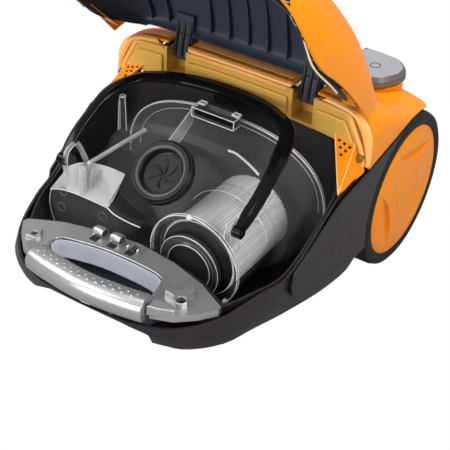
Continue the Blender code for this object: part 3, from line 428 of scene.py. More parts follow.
RIM = half([(0, -217, 86), (50, -213.0, 86), (55, -211.7, 86), (63, -209.2, 86), (89, -197, 86.4), (116, -168, 91.2), (132, -126, 100), (141.5, -86, 106), (145, -16, 149), (146, 27, 158)],
           [(146, 39, 157), (104, 43.5, 160), (104, 120, 166), (104, 160, 149), (104, 198, 130), (90, 216, 110), (0, 222, 110)])
WALL = 2.6
outer = [mirror_ring(h) for h in (H26, H32, H50, H59, H63, H75, RIM)]
inner = [offset(outer[6], WALL), offset(outer[5], WALL), at_z(offset(outer[4], WALL), 66.5), at_z(offset(outer[3], WALL), 62.5),
         offset(outer[2], WALL + 0.4), at_z(offset(outer[1], WALL + 2.0), 33.5), at_z(offset(outer[0], WALL + 2.0), 29.2)]
v, f = cup(outer, inner)
hull = make('lower_chassis', v, f, BLACK)
for sx in (-1, 1):
    # bore for the fixed wheel axle
    v, f = cyl('x', (0, WHEEL_Y, WHEEL_Z), AXLE_R + 0.03, min(sx * 95, sx * 110), max(sx * 95, sx * 110), 16)
    cut(hull, make('c', v, f, BLACK))
v, f = cyl('z', (0, CASTER_Y, 0), 4.1, 20, 40, 24)
cut(hull, make('c', v, f, BLACK))
# hole for the cord outlet in the rear wall
v, f = cyl('y', (-62, 0, 80), 8.4, 200, 240, 16)
cut(hull, make('c', v, f, BLACK))

# ------------------------------------------------------------------ bin tub (black liner of the bin bay)
def tub_ring(front, side, back):
    return mirror_ring(spline(front, 2)[:-1] + spline(side, 2)[:-1] + spline(back, 2))


T46 = tub_ring([(0, -122, 46), (40, -126, 46), (76, -136, 46), (100, -143, 46)], [(100, -143, 46), (112, -125, 46), (121, -88, 46), (129, -16, 46), (129, 12, 46)],
               [(129, 12, 46), (122, 24, 46), (90, 26, 46), (0, 26, 46)])
T70 = tub_ring([(0, -123, 70), (40, -127, 70), (78, -138, 70), (104, -150, 70)], [(104, -150, 70), (124, -120, 70), (133, -86, 70), (138.5, -16, 70), (138, 10, 70)],
               [(138, 10, 70), (130, 25, 70), (92, 27, 70), (0, 27, 70)])
TRIM = tub_ring([(0, -125, 96), (42, -130, 96), (80, -141, 97), (112, -157, 97)], [(112, -157, 97), (127, -126, 101), (137.5, -86, 106), (140.4, -16, 148), (129.4, 8, 164.5)],
                [(129.4, 8, 164.5), (114, 26.6, 178.5), (94, 28, 183), (0, 28, 191)])
touter = [T46, T70, TRIM]
tinner = [offset(TRIM, 2.2), offset(T70, 2.2), at_z(offset(T46, 2.4), 48.4)]
v, f = cup(touter, tinner)
tub = make('bin_tub', v, f, BLACK)
MOTOR_X, MOTOR_Z = 40.0, 95.0
v, f = cyl('y', (MOTOR_X, 0, MOTOR_Z), 24.0, 15, 40, 24)
cut(tub, make('c', v, f, BLACK))

# ------------------------------------------------------------------ side fenders
def fender_x(y):
    t = [(-95, 144.8), (-64, 147.3), (-16, 150.2), (30, 151.6), (120, 151.8)]
    for (a, xa), (b, xb) in zip(t, t[1:]):
        if y <= b:
            return xa + (xb - xa) * max(0.0, (y - a)) / (b - a)
    return t[-1][1]


def fender_outline():
    top = [(-88, 106.6), (-60, 123.2), (-40, 136), (-16, 149.4), (34, 157.6), (70, 163.6), (101, 168.4)]
    circ = [(WHEEL_Y + 87.4 * math.cos(math.radians(a)), WHEEL_Z + 87.4 * math.sin(math.radians(a))) for a in (106, 118, 130, 142, 154, 166, 178, 190, 197)]
    low = [(20, 59.4), (-20, 59.6), (-48, 60.4), (-66, 63.6), (-80, 71), (-88.5, 81), (-92, 93)]
    return top + circ + low


for nm, sx in (('fender_right', 1), ('fender_left', -1)):
    o = fender_outline()
    v, f = rings_solid([[(sx * (fender_x(y) - 2.2), y, z) for y, z in o], [(sx * fender_x(y), y, z) for y, z in o]])
    ob = make(nm, v, f, BLACK)
    bm = bmesh.new()
    bm.from_mesh(ob.data)
    bmesh.ops.triangulate(bm, faces=[p for p in bm.faces if len(p.verts) > 4])
    bm.to_mesh(ob.data)
    bm.free()

# ------------------------------------------------------------------ rear cover
RC = [(34, 150, 158.6, 222, 5.0), (60, 150, 163.5, 221, 4.6), (90, 150, 168.5, 207, 4.0), (120, 149.5, 173.0, 187, 3.4), (135, 148.6, 172.6, 178.5, 3.2), (146, 147.5, 171.2, 173.4, 3.0),
      (165, 145, 166.6, 171.0, 3.0), (185, 139, 156.5, 168.5, 3.0), (203, 127, 139.5, 163, 3.0), (216, 112, 124, 150, 3.0), (223, 100, 113.5, 131, 3.0), (225, 97, 112, 114, 3.0)]
RCK = 60
grid = [usection(y, w, b, t, n, RCK) for y, w, b, t, n in spline(RC, 2)]
v, f = sheet(grid, 2.4)
cover = make('rear_cover', v, f, YELLOW)

# ------------------------------------------------------------------ bulkhead with hinge pockets
bh = [(-145.5, 160.5), (-145, 170), (-141, 184), (-127, 212.5), (-120, 214.5), (-60, 217.5), (0, 218.5), (60, 217.5), (120, 214.5), (127, 212.5), (141, 184), (145, 170), (145.5, 160.5),
      (136, 160.5), (133, 176), (110, 181.5), (60, 184), (0, 186), (-60, 184), (-110, 181.5), (-133, 176), (-136, 160.5)]
v, f = prism(bh, 'y', 29.6, 33.2)
bulk = make('bulkhead', v, f, GOLD)
for sx in (-1, 1):
    a, b = sorted((sx * 58.5, sx * 89.5))
    v, f = box(a, b, 31.0, 54.5, 183.4, 213.0)
    join(bulk, make('c', v, f, GOLD))
    a, b = sorted((sx * SLOT_X0, sx * SLOT_X1))
    v, f = box(a, b, 20.0, 51.5, 187.0, 240.0)
    cut(bulk, make('c', v, f, GOLD))
    a, b = sorted((sx * 57.0, sx * 91.0))
    v, f = cyl('x', (0, HINGE_Y, HINGE_Z), 2.03, a, b, 12)
    cut(bulk, make('c', v, f, GOLD))

# ------------------------------------------------------------------ side vent panels (gusset faces between bulkhead and hull rim)
for nm, sx in (('side_vent_right', 1), ('side_vent_left', -1)):
    # wedge: low point forward on the rim, high edge against the bulkhead
    P = [(142.6, -14, 153.0), (143.6, -14, 153.0), (134.4, 29.2, 183.0), (111.5, 29.2, 190.6)]
    Q = [(142.6, -14, 151.2), (143.6, -14, 151.2), (134.4, 29.2, 180.6), (111.5, 29.2, 188.2)]
    P = [(sx * x, y, z) for x, y, z in P]
    Q = [(sx * x, y, z) for x, y, z in Q]
    v, f = rings_solid([Q, P])
    ob = make(nm, v, f, GOLD)
    bm = bmesh.new()
    bm.from_mesh(ob.data)
    bmesh.ops.triangulate(bm, faces=bm.faces)
    bm.to_mesh(ob.data)
    bm.free()

# ------------------------------------------------------------------ silver front panel, hand grip and recess liner
pan_front = [(0, -213), (50, -209.5), (86, -195), (101, -181), (113, -165)]
back = [(112, -159.5), (81, -143.2), (42, -132.2), (0, -127.2)]
pf = pan_front
pan = [(x, y) for x, y in pf] + back
pan = pan + [(-x, y) for x, y in reversed(pan[1:-1])]
v, f = prism(pan, 'z', 92.0, 99.0)
panel = make('front_panel', v, f, SILVER)
# hand opening, open to the front between the ends of the grip
big = [(-62, -154), (-30, -147), (0, -145), (30, -147), (60, -155.5), (66.5, -168), (66.5, -184), (65.8, -190), (65.8, -230), (-65.8, -230), (-65.8, -190), (-68, -184), (-70.5, -168)]
v, f = prism(big, 'z', 80, 120)
cut(panel, make('c', v, f, SILVER))
for x in (-40, -20, 0):
    v, f = box(x - 4, x + 4, -142.0 - abs(x) * 0.04, -131.0 - abs(x) * 0.04, 80, 120)
    cut(panel, make('c', v, f, SILVER))
v, f = cyl('z', (76, -172, 0), 4.0, 80, 120, 12)
cut(panel, make('c', v, f, SILVER))
v, f = cyl('z', (-86, -176, 0), 3.0, 80, 120, 12)
cut(panel, make('c', v, f, SILVER))

grip_path = spline([(-63, -203.2, 100.4), (-40, -208.4, 101.2), (0, -212.2, 101.6), (40, -208.4, 101.2), (63, -203.2, 100.4)], 4)
rings = []
GN = 40
for i, p in enumerate(grip_path):
    P0 = Vector(grip_path[max(i - 1, 0)])
    P1 = Vector(grip_path[min(i + 1, len(grip_path) - 1)])
    d = (P1 - P0).normalized()
    a = Vector((d.y, -d.x, 0)).normalized()
    ring = []
    for k in range(GN):
        t = 2 * math.pi * k / GN
        ct, st = math.cos(t), math.sin(t)
        ex = 2.0 / 2.6
        q = Vector(p) + a * 12.8 * math.copysign(abs(ct) ** ex, ct) + Vector((0, 0, 1)) * 13.0 * math.copysign(abs(st) ** ex, st)
        ring.append(tuple(q))
    rings.append(ring)
v, f = rings_solid(rings)
make('carry_handle_grip', v, f, SILVER, smooth=False)

# recess liner: open basin under the hand opening and the grip
def scaled(poly, cx, cy, s, z):
    return [(cx + (x - cx) * s, cy + (y - cy) * s, z) for x, y in poly]


bas = [(-60.5, -155.5), (-30, -148.6), (0, -146.6), (30, -148.6), (58.5, -157), (64.5, -168), (66, -184), (62, -190), (0, -202), (-62, -190), (-67, -184), (-68.5, -168)]
bo = [scaled(bas, 0, -172, 0.86, 67.6), scaled(bas, 0, -172, 0.96, 73), scaled(bas, 0, -172, 1.0, 84.0)]
bi = [scaled(bas, 0, -172, 0.965, 84.0), scaled(bas, 0, -172, 0.925, 74), scaled(bas, 0, -172, 0.82, 69.4)]
v, f = cup(bo, bi)
make('handle_recess_liner', v, f, SLATE)

# ------------------------------------------------------------------ wheels
for side, sx in (('right', 1), ('left', -1)):
    c = (0, WHEEL_Y, WHEEL_Z)
    o = (sx * 130, WHEEL_Y, WHEEL_Z)
    prof = [(112, HUB_R + 0.4), (112, 81), (115.5, 84.6), (122, TYRE_R), (144, TYRE_R), (149.5, 83.8), (152, 79.5), (152, 75), (150.6, HUB_R + 0.4)]
    v, f = revolve([(sx * a, r) for a, r in prof], 'x', c, 28)
    make('tyre_' + side, v, f, RUBBER, o)
    prof = [(140.6, 0.0), (140.6, AXLE_R + 0.12), (113, AXLE_R + 0.12), (113, 12), (146, 13), (146.5, 63), (115, 64.5), (115, HUB_R), (150, HUB_R),
            (152.4, 69), (153.6, 55), (154.2, 30), (154.4, 0.0)]
    v, f = revolve([(sx * a, r) for a, r in prof], 'x', c, 28)
    make('wheel_hub_' + side, v, f, YELLOW, o)
    prof = [(95, 0.0), (95, 9.0), (100.6, 9.0), (100.6, AXLE_R), (140, AXLE_R), (140, 0.0)]
    v, f = revolve([(sx * a, r) for a, r in prof], 'x', c, 16)
    make('wheel_axle_' + side, v, f, STEEL, o)

# ------------------------------------------------------------------ front caster
v, f = cyl('z', (0, CASTER_Y, 0), 14.0, 22.4, 25.6, 20)
fork = make('caster_fork', v, f, BLACK, (0, CASTER_Y, 24))
v, f = cyl('z', (0, CASTER_Y, 0), 4.0, 24.0, 33.5, 12)
join(fork, make('c', v, f, BLACK, (0, CASTER_Y, 24)))
for sx in (-1, 1):
    a, b = sorted((sx * 7.2, sx * 9.8))
    poly = [(CASTER_Y - 5, 23.0), (CASTER_Y + 11, 23.0), (CASTER_Y + 11, 9), (CASTER_Y + 8, 6.5), (CASTER_Y + 3, 7)]
    v, f = prism(poly, 'x', a, b)
    join(fork, make('c', v, f, BLACK, (0, CASTER_Y, 24)))
v, f = cyl('x', (0, CASTER_Y + 6, CASTER_R), 2.03, -12, 12, 10)
cut(fork, make('c', v, f, BLACK, (0, CASTER_Y, 24)))
v, f = revolve([(-6.5, 2.1), (-6.5, 9.6), (-5.2, CASTER_R), (5.2, CASTER_R), (6.5, 9.6), (6.5, 2.1)], 'x', (0, CASTER_Y + 6, CASTER_R), 20)
make('caster_wheel', v, f, GREY, (0, CASTER_Y + 6, CASTER_R))
v, f = cyl('x', (0, CASTER_Y + 6, CASTER_R), 2.0, -9.8, 9.8, 10)
make('caster_pin', v, f, STEEL, (0, CASTER_Y + 6, CASTER_R))

# ------------------------------------------------------------------ rear pedals, vent and what is under them
def rr(x0, x1, y0, y1, r, n=4):
    pts = []
    for cx, cy, a0 in ((x1 - r, y0 + r, -90), (x1 - r, y1 - r, 0), (x0 + r, y1 - r, 90), (x0 + r, y0 + r, 180)):
        for k in range(n + 1):
            a = math.radians(a0 + 90.0 * k / n)
            pts.append((cx + r * math.cos(a), cy + r * math.sin(a)))
    return pts


def shrink(poly, d, z):
    return offset([(x, y, z) for x, y in poly], d)


PED = [(46, 156), (58, 152), (84, 152), (97, 159), (107, 180), (106, 196), (95, 210), (78, 215), (54, 216), (46, 210)]
PED_Z = 175.4
for nm, sx, cap in (('power_pedal', 1, GREY), ('rewind_pedal', -1, GREY)):
    P = [(sx * x, y) for x, y in PED]
    if sx < 0:
        P = list(reversed(P))
    z0 = PED_Z
    outer_r = [shrink(P, 0.6, z0), shrink(P, 0.0, z0 + 2.0), shrink(P, 0.0, z0 + 6.5), shrink(P, 3.2, z0 + 11.4)]
    inner_r = [shrink(P, 5.6, z0 + 9.2), shrink(P, 3.0, z0 + 6.0), shrink(P, 2.8, z0)]
    # hollow cap, opening downwards
    v, f = rings_solid(list(reversed(outer_r)) + list(reversed(inner_r)))
    ped = make(nm, v, f, cap, (sx * 76, 180, z0))
    # guide stem under the cap
    v, f = cyl('z', (sx * 76, 180, 0), 4.0, 150.0, z0 + 10.3, 12)
    join(ped, make('c', v, f, cap, (sx * 76, 180, z0)))
    # pedestal on the cover: open-topped boss, bored for the stem
    Q = [shrink(P, 1.2, 148.0), shrink(P, 1.2, PED_Z - PEDAL_TRAVEL - 0.4)]
    v, f = rings_solid(Q)
    join(cover, make('c', v, f, YELLOW))
# hollow the pedestals from below so that they stay thin-walled
for sx in (1, -1):
    P = [(sx * x, y) for x, y in PED]
    if sx < 0:
        P = list(reversed(P))
    v, f = rings_solid([shrink(P, 3.8, 120.0), shrink(P, 3.8, PED_Z - PEDAL_TRAVEL - 2.8)])
    cut(cover, make('c', v, f, YELLOW))
    v, f = cyl('z', (sx * 76, 180, 0), 4.1, 160, 200, 12)
    cut(cover, make('c', v, f, YELLOW))

for sx in (-1, 1):
    a, b = sorted((sx * 61.0, sx * 87.2))
    v, f = box(a, b, 20, 55.5, 195, 240)
    cut(cover, make('c', v, f, YELLOW))

# pedal springs, coiled round the guide stems under the pedestals
def coil(name, c, r, wire, z0, z1, turns, material):
    steps, n = int(turns * 8), 4
    rings = []
    for i in range(steps + 1):
        t = i / steps
        a = 2 * math.pi * turns * t
        p = Vector((c[0] + r * math.cos(a), c[1] + r * math.sin(a), z0 + (z1 - z0) * t))
        u = Vector((math.cos(a), math.sin(a), 0))
        rings.append([tuple(p + u * wire * math.cos(2 * math.pi * k / n) + Vector((0, 0, 1)) * wire * math.sin(2 * math.pi * k / n)) for k in range(n)])
    v, f = rings_solid(rings)
    return make(name, v, f, material)


# ------------------------------------------------------------------ bin (clear container with its cyclone chamber and filter)
def superloop(cx, cz, w, h_up, h_dn, n, k, y):
    pts = []
    for i in range(k):
        t = 2 * math.pi * i / k
        c, s2 = math.cos(t), math.sin(t)
        h = h_up if s2 >= 0 else h_dn
        pts.append((cx + w * math.copysign(abs(c) ** (2.0 / n), c), y, cz + h * math.copysign(abs(s2) ** (2.0 / n), s2)))
    return pts


BK = 28 * NR
BIN_FRONT = -119.0
LOBE_X, LOBE_Z, LOBE_R = -76.0, 94.0, 43.0
body_o = [superloop(6, 104, 108, 70, 50, 2.5, BK, -52), superloop(6, 104, 114, 76, 52, 2.5, BK, -44), superloop(6, 104, 117, 78, 53, 2.5, BK, 2)]
body_i = [superloop(6, 104, 114.6, 75.6, 50.6, 2.5, BK, 2), superloop(6, 104, 111.6, 73.6, 49.6, 2.5, BK, -42.5), superloop(6, 104, 106, 68, 48, 2.5, BK, -49.6)]
v, f = rings_solid(body_o + body_i)
binb = make('bin_body', v, f, CLEAR)
v, f = cyl('y', (LOBE_X, 0, LOBE_Z), LOBE_R, BIN_FRONT, -46, 24)
join(binb, make('c', v, f, CLEAR))
v, f = cyl('y', (FILTER_X, 0, FILTER_Z), FILTER_R + 2.0, BIN_FRONT, -46, 28)
join(binb, make('c', v, f, CLEAR))


# inlet neck between the two chambers
def neck(r0, r1, a0, a1, n=20):
    n = n * NR
    v, f = rings_solid([[(r0 * math.cos(2 * math.pi * k / n), r0 * math.sin(2 * math.pi * k / n), a0) for k in range(n)],
                        [(r1 * math.cos(2 * math.pi * k / n), r1 * math.sin(2 * math.pi * k / n), a1) for k in range(n)]])
    return along(v, INLET_C, INLET_N), f


v, f = neck(38, 31.5, -60, -6.2)
join(binb, make('c', v, f, CLEAR))
v, f = cyl('y', (FILTER_X, 0, FILTER_Z), 48.5, BIN_FRONT, BIN_FRONT + 3.4, 28)
join(binb, make('c', v, f, CLEAR))
# hollow insides, one wall inwards
v, f = cyl('y', (LOBE_X, 0, LOBE_Z), LOBE_R - 2.0, BIN_FRONT + 2.2, -40, 24)
cut(binb, make('c', v, f, CLEAR))
v, f = cyl('y', (FILTER_X, 0, FILTER_Z), FILTER_R - 0.2, BIN_FRONT - 5, -40, 28)
cut(binb, make('c', v, f, CLEAR))
v, f = neck(35.4, 29.0, -58, -5)
cut(binb, make('c', v, f, CLEAR))
# lift-out guide post, latch cheeks and the two pivot brackets of the bail
v, f = rings_solid([[(-88 + 5.5 * math.cos(k * math.pi / 5), -40 + 5.5 * math.sin(k * math.pi / 5), 152) for k in range(10)],
                    [(-88 + 3.2 * math.cos(k * math.pi / 5), -40 + 3.2 * math.sin(k * math.pi / 5), 190) for k in range(10)]])
join(binb, make('c', v, f, CLEAR))
for x0, x1 in ((-24, -20.5), (20.5, 24)):
    v, f = box(x0, x1, -10, 1.5, 179.5, 190)
    join(binb, make('c', v, f, CLEAR))
for sx, zb in ((-1, 132.5), (1, 122.3)):
    a, b = sorted((sx * 90.5, sx * 95.0))
    v, f = prism([(-125, 144), (-125, 154), (-121, 158), (-115, 158), (-111, 154), (-104, zb), (-118, zb)], 'x', a, b)
    join(binb, make('c', v, f, CLEAR))
    a, b = sorted((sx * 94.0, sx * 103.5))
    v, f = cyl('x', (0, BAIL_Y, BAIL_Z), 2.8, a, b, 12)
    join(binb, make('c', v, f, CLEAR))

# rear cover of the bin
r0 = superloop(6, 104, 117, 78, 53, 2.5, BK, 2.4)
r1 = superloop(6, 104, 117, 78, 53, 2.5, BK, 5.0)
r2 = superloop(6, 104, 108, 69, 45, 2.5, BK, 7.6)
v, f = rings_solid([r0, r1, r2])
make('bin_rear_cover', v, f, CLEAR)

# inlet ring and its flap
def ring_along(r_in, r_out, a0, a1, n=28):
    v, f = tube('z', (0, 0, 0), r_in, r_out, a0, a1, n)
    return along(v, INLET_C, INLET_N), f


v, f = revolve([(-5.6, 21.0), (-5.6, 31.2), (1.0, 31.2), (4.0, 28.5), (4.0, 23.5), (1.5, 21.0)], 'z', (0, 0, 0), 28)
make('inlet_ring', along(v, INLET_C, INLET_N), f, GLOSSBLACK, INLET_C)
INLET_U = Vector((0, 0.731, 0.682)).normalized()
FLAP_H = INLET_C + INLET_U * 20.0 - INLET_N * 2.4
poly = [(19.4 * math.cos(2 * math.pi * k / 24), 19.4 * math.sin(2 * math.pi * k / 24)) for k in range(24)]
v, f = prism(poly, 'z', -3.0, -1.8)
make('inlet_flap', along(v, INLET_C, INLET_N), f, RUBBER, FLAP_H)

# pleated filter with its end rings
NP = 30
FY0, FY1 = -111.0, -14.0
rings = []
for y in (FY0, FY1):
    ring = []
    for k in range(2 * NP):
        r = 38.5 if k % 2 == 0 else 33.5
        t = math.pi * k / NP
        ring.append((FILTER_X + r * math.cos(t), y, FILTER_Z + r * math.sin(t)))
    rings.append(ring)
irings = []
for y in (FY1, FY0):
    ring = []
    for k in range(2 * NP):
        r = 36.6 if k % 2 == 0 else 31.6
        t = math.pi * k / NP
        ring.append((FILTER_X + r * math.cos(t), y, FILTER_Z + r * math.sin(t)))
    irings.append(ring)
v, f = loop_solid(rings + irings)
make('pleated_filter', v, f, FILTERM)
v, f = revolve([(-118.4, 25.0), (-118.4, 43.2), (-111.5, 43.2), (-111.5, 29.0), (-115.5, 25.0)], 'y', (FILTER_X, 0, FILTER_Z), 28)
make('filter_outlet_ring', v, f, GLOSSBLACK)
v, f = revolve([(-13.5, 0.0), (-13.5, 39.0), (-10.5, 39.0), (-10.5, 0.0)], 'y', (FILTER_X, 0, FILTER_Z), 24)
make('filter_end_cap', v, f, GLOSSBLACK)

# bail handle of the bin
half_path = [(BAIL_X, BAIL_Y, BAIL_Z), (101.5, -104, 163), (102, -84, 176), (98, -48, 196), (85, -16, 201.5), (56, 5, 201), (26, 13.5, 200.5)]
full = half_path + [(0, 15.5, 200.2)] + [(-x, y, z) for x, y, z in reversed(half_path)]
def bail_strap(path):
    # wide strap with rounded edges and one ridge along its outer face
    P = [Vector(p) for p in path]
    prof = [(-1, -0.20), (-0.97, 0.10), (-0.80, 0.42), (-0.10, 0.62), (0.0, 0.66), (0.10, 0.62), (0.80, 0.42), (0.97, 0.10), (1, -0.20), (0.9, -0.45), (-0.9, -0.45)]
    rings = []
    for i, p in enumerate(P):
        d = (P[min(i + 1, len(P) - 1)] - P[max(i - 1, 0)]).normalized()
        t = i / (len(P) - 1.0)
        e_ = min(t, 1 - t)
        w_ = 4.6 + (2.0 if e_ > 0.06 else 2.0 * e_ / 0.06) + (1.3 if e_ > 0.2 else 1.3 * max(0.0, (e_ - 0.185) / 0.015))
        out = Vector((0, -0.35, 1.0)) + Vector((p.x * 0.004, 0, 0))
        a_ = d.cross(out).normalized()
        b_ = a_.cross(d).normalized()
        if b_.z < 0:
            b_ = -b_
        rings.append([tuple(p + a_ * w_ * u + b_ * 5.4 * h) for u, h in prof])
    return rings_solid(rings)


v, f = bail_strap(spline(full, 4))
bail = make('bail_handle', v, f, GLOSSBLACK, (0, BAIL_Y, BAIL_Z))
for sx in (-1, 1):
    a, b = sorted((sx * 95.6, sx * 104.4))
    v, f = cyl('x', (0, BAIL_Y, BAIL_Z), 5.6, a, b, 14)
    join(bail, make('c', v, f, GLOSSBLACK, (0, BAIL_Y, BAIL_Z)))
for sx in (-1, 1):
    a, b = sorted((sx * 92.0, sx * 107.0))
    v, f = cyl('x', (0, BAIL_Y, BAIL_Z), 2.98, a, b, 12)
    cut(bail, make('c', v, f, GLOSSBLACK, (0, BAIL_Y, BAIL_Z)))

# latch button on the bin
v, f = prism([(-9.5, 186.6), (-9.5, 189), (-6, 193), (0, 193.6), (1.5, 191.5), (1.5, 186.6)], 'x', -20.1, 20.1)
latch = make('bin_latch', v, f, BLACK, (0, -4, 186.6))

# ------------------------------------------------------------------ lid (drawn closed, then stood open)
LS = [(25, 147.5, 186, 231, 3.6), (5, 147.5, 175, 234, 3.3), (-16, 147, 163, 235.5, 3.1), (-50, 145.5, 141.5, 232, 2.9), (-86, 142.5, 116, 219, 2.7),
      (-118, 135, 108.5, 198, 2.6), (-140, 126, 107, 172, 2.5), (-153, 116, 106.3, 146, 2.5), (-160, 107, 106, 122, 2.4), (-162, 103, 106, 108.5, 2.4)]
LK = 60
grid = [usection(y, w, b, t, n, LK) for y, w, b, t, n in spline(LS, 2)]
v, f = sheet(grid, -2.4)
HO = (0, HINGE_Y, HINGE_Z)
lid = make('lid_shell', opened(v), f, YELLOW, HO)


def port_tool(r, a0, a1, n=24):
    n = n * NR
    poly = [(r * math.cos(2 * math.pi * k / n), r * math.sin(2 * math.pi * k / n)) for k in range(n)]
    v, f = prism(poly, 'z', a0, a1)
    return opened(along(v, INLET_C, INLET_N)), f


v, f = port_tool(31.4, 15, 75)
cut(lid, make('c', v, f, YELLOW, HO))

LL = [(22.5, 118, 204.5, 209, 6.0), (20.0, 124, 201, 216.5, 5.0), (12, 129.5, 190.0, 222, 4.2), (-16, 138.6, 158.6, 224, 3.1), (-50, 138.0, 136.5, 221, 2.9), (-86, 135.6, 114.5, 208.5, 2.7),
      (-116, 130.2, 110.5, 190, 2.7), (-136, 121, 109.4, 166.5, 2.6), (-146, 110, 109.0, 141, 2.5), (-151.5, 98.5, 108.8, 117, 2.4)]
grid = [usection(y, w, b, t, n, LK) for y, w, b, t, n in spline(LL, 2)]
v, f = sheet(grid, -2.0)
liner = make('lid_liner', opened(v), f, SLATE, HO)
v, f = port_tool(31.4, 10, 75)
cut(liner, make('c', v, f, SLATE, HO))
for sx in (-1, 1):
    a, b = sorted((sx * ARM_X0, sx * ARM_X1))
    arm = [(50.4, 205), (48.8, 208.8), (45, 210.6), (30, 216), (16, 220.5), (2, 221.4), (2, 216), (18, 211), (34, 203.5), (41, 201.2), (45, 199.6), (48.8, 201.2)]
    v, f = prism(arm, 'x', a, b)
    join(liner, make('c', opened(v), f, SLATE, HO))
    a, b = sorted((sx * 60.0, sx * 88.0))
    v, f = cyl('x', (0, HINGE_Y, HINGE_Z), 2.12, a, b, 12)
    cut(liner, make('c', v, f, SLATE, HO))
for nm, sx in (('hinge_pin_right', 1), ('hinge_pin_left', -1)):
    a, b = sorted((sx * 58.8, sx * 89.2))
    v, f = cyl('x', (0, HINGE_Y, HINGE_Z), 2.0, a, b, 12)
    make(nm, v, f, STEEL)

edge = [(w, y, b) for y, w, b, t, n in LS[3:-2]] + [(105, -157.8, 106), (97, -161.0, 106), (60, -161.2, 106), (-60, -161.2, 106)]
rim = []
for k in range(len(edge) - 1):
    p, q = edge[max(k - 1, 0)], edge[k + 1]
    d = Vector((q[0] - p[0], q[1] - p[1])).normalized()
    rim.append((edge[k][0] + 4.3 * d.y, edge[k][1] - 4.3 * d.x, edge[k][2] + 1.3))
path = rim + [(-x, y, z) for x, y, z in reversed(rim)]
v, f = sweep(path, 0.9, 6)
make('lid_seal', opened(v), f, RUBBER, HO)

v, f = revolve([(8.0, 22.0), (8.0, 27.0), (12.0, 31.0), (47.0, 31.0), (47.0, 22.0)], 'z', (0, 0, 0), 48)
make('hose_port', opened(along(v, INLET_C, INLET_N)), f, BLACK, HO)
v, f = tube('z', (0, 0, 0), 22.4, 28.5, 4.8, 7.6, 24)
make('hose_port_seal', opened(along(v, INLET_C, INLET_N)), f, RUBBER, HO)

LATCH_H = opened([(0, -135.4, 148)])[0]
v, f = prism([(-137.0, 152.0), (-133.8, 152.0), (-133.8, 93.4), (-138.6, 93.4), (-138.6, 96.0), (-137.0, 97.6)], 'x', -3.0, 3.0)
ll = make('lid_latch', opened(v), f, BLACK, LATCH_H)


v, f = box(-33, 33, 160, 209, 140, 200)
cut(cover, make('c', v, f, YELLOW))

# ================================================================== details that the frame leaves out
EXTRA = []


def piece(name, verts, faces, material, body, edge=0.0004, ang=34, seg=2):
    me = bpy.data.meshes.new(name)
    me.from_pydata([tuple(Vector(v) * MM) for v in verts], [], faces)
    bm = bmesh.new()
    bm.from_mesh(me)
    bmesh.ops.remove_doubles(bm, verts=bm.verts, dist=1e-6)
    bmesh.ops.recalc_face_normals(bm, faces=bm.faces)
    if bm.calc_volume(signed=True) < 0:
        bmesh.ops.reverse_faces(bm, faces=bm.faces)
    bm.to_mesh(me)
    bm.free()
    ob = bpy.data.objects.new(name, me)
    bpy.context.collection.objects.link(ob)
    me.materials.append(material)
    EXTRA.append((ob, body, edge, ang, seg))
    return ob


def merged(parts):
    V, F = [], []
    for v, f in parts:
        o = len(V)
        V += [tuple(p) for p in v]
        F += [tuple(i + o for i in q) for q in f]
    return V, F


def bar(path, r, n=12, flat=1.0):
    return sweep(path, r, n, flat)


# wheel covers: domed disc with three crescent hollows and a raised centre, one surface
def hub_face(sx):
    NA, RR = 360, 110
    rings = []

    def height(r, a):
        t = [(0.0, 154.4), (30.0, 154.2), (55.0, 153.6), (67.0, 152.4), (HUB_R, 150.2)]
        h = t[-1][1]
        for (ra, ha), (rb, hb) in zip(t, t[1:]):
            if r <= rb:
                h = ha + (hb - ha) * (r - ra) / (rb - ra)
                break
        # centre medallion: fine step down round a raised disc
        h -= 1.0 * math.exp(-((r - 23.0) / 0.9) ** 2)
        # rim roll near the edge
        h -= 0.7 * math.exp(-((r - 66.0) / 1.0) ** 2)
        # three lens-shaped hollows, steep on their inward-bowed edge
        for k in range(3):
            a0 = math.radians(80 + 120 * k)
            lx, ly = r * math.cos(a - a0), r * math.sin(a - a0)
            half_c = 41.0
            if abs(ly) < half_c:
                q = 1 - (ly / half_c) ** 2
                inner = 48.0 - 10.5 * q
                outer = 48.0 + 3.5 * q
                if inner < lx < outer:
                    s = (lx - inner) / (outer - inner)
                    h -= 5.2 * q * min(1.0, s / 0.12) * (1 - s)
        return h

    verts = []
    for i in range(RR + 1):
        r = HUB_R * i / RR
        for j in range(NA):
            a = 2 * math.pi * j / NA
            verts.append((sx * height(r, a if sx > 0 else math.pi - a), WHEEL_Y + r * math.cos(a), WHEEL_Z + r * math.sin(a)))
    faces = []
    for i in range(RR):
        bridge(faces, i * NA, (i + 1) * NA, NA)
    back = len(verts)
    for j in range(NA):
        a = 2 * math.pi * j / NA
        verts.append((sx * 142.0, WHEEL_Y + HUB_R * math.cos(a), WHEEL_Z + HUB_R * math.sin(a)))
    bridge(faces, RR * NA, back, NA)
    faces.append(tuple(range(back, back + NA)))
    return verts, faces


COVERS = {}
for side, sx in (('right', 1), ('left', -1)):
    v, f = hub_face(sx)
    COVERS['wheel_hub_' + side] = piece('wheel_cover_' + side, v, f, YELLOW, 'wheel_' + side, edge=0, ang=50)

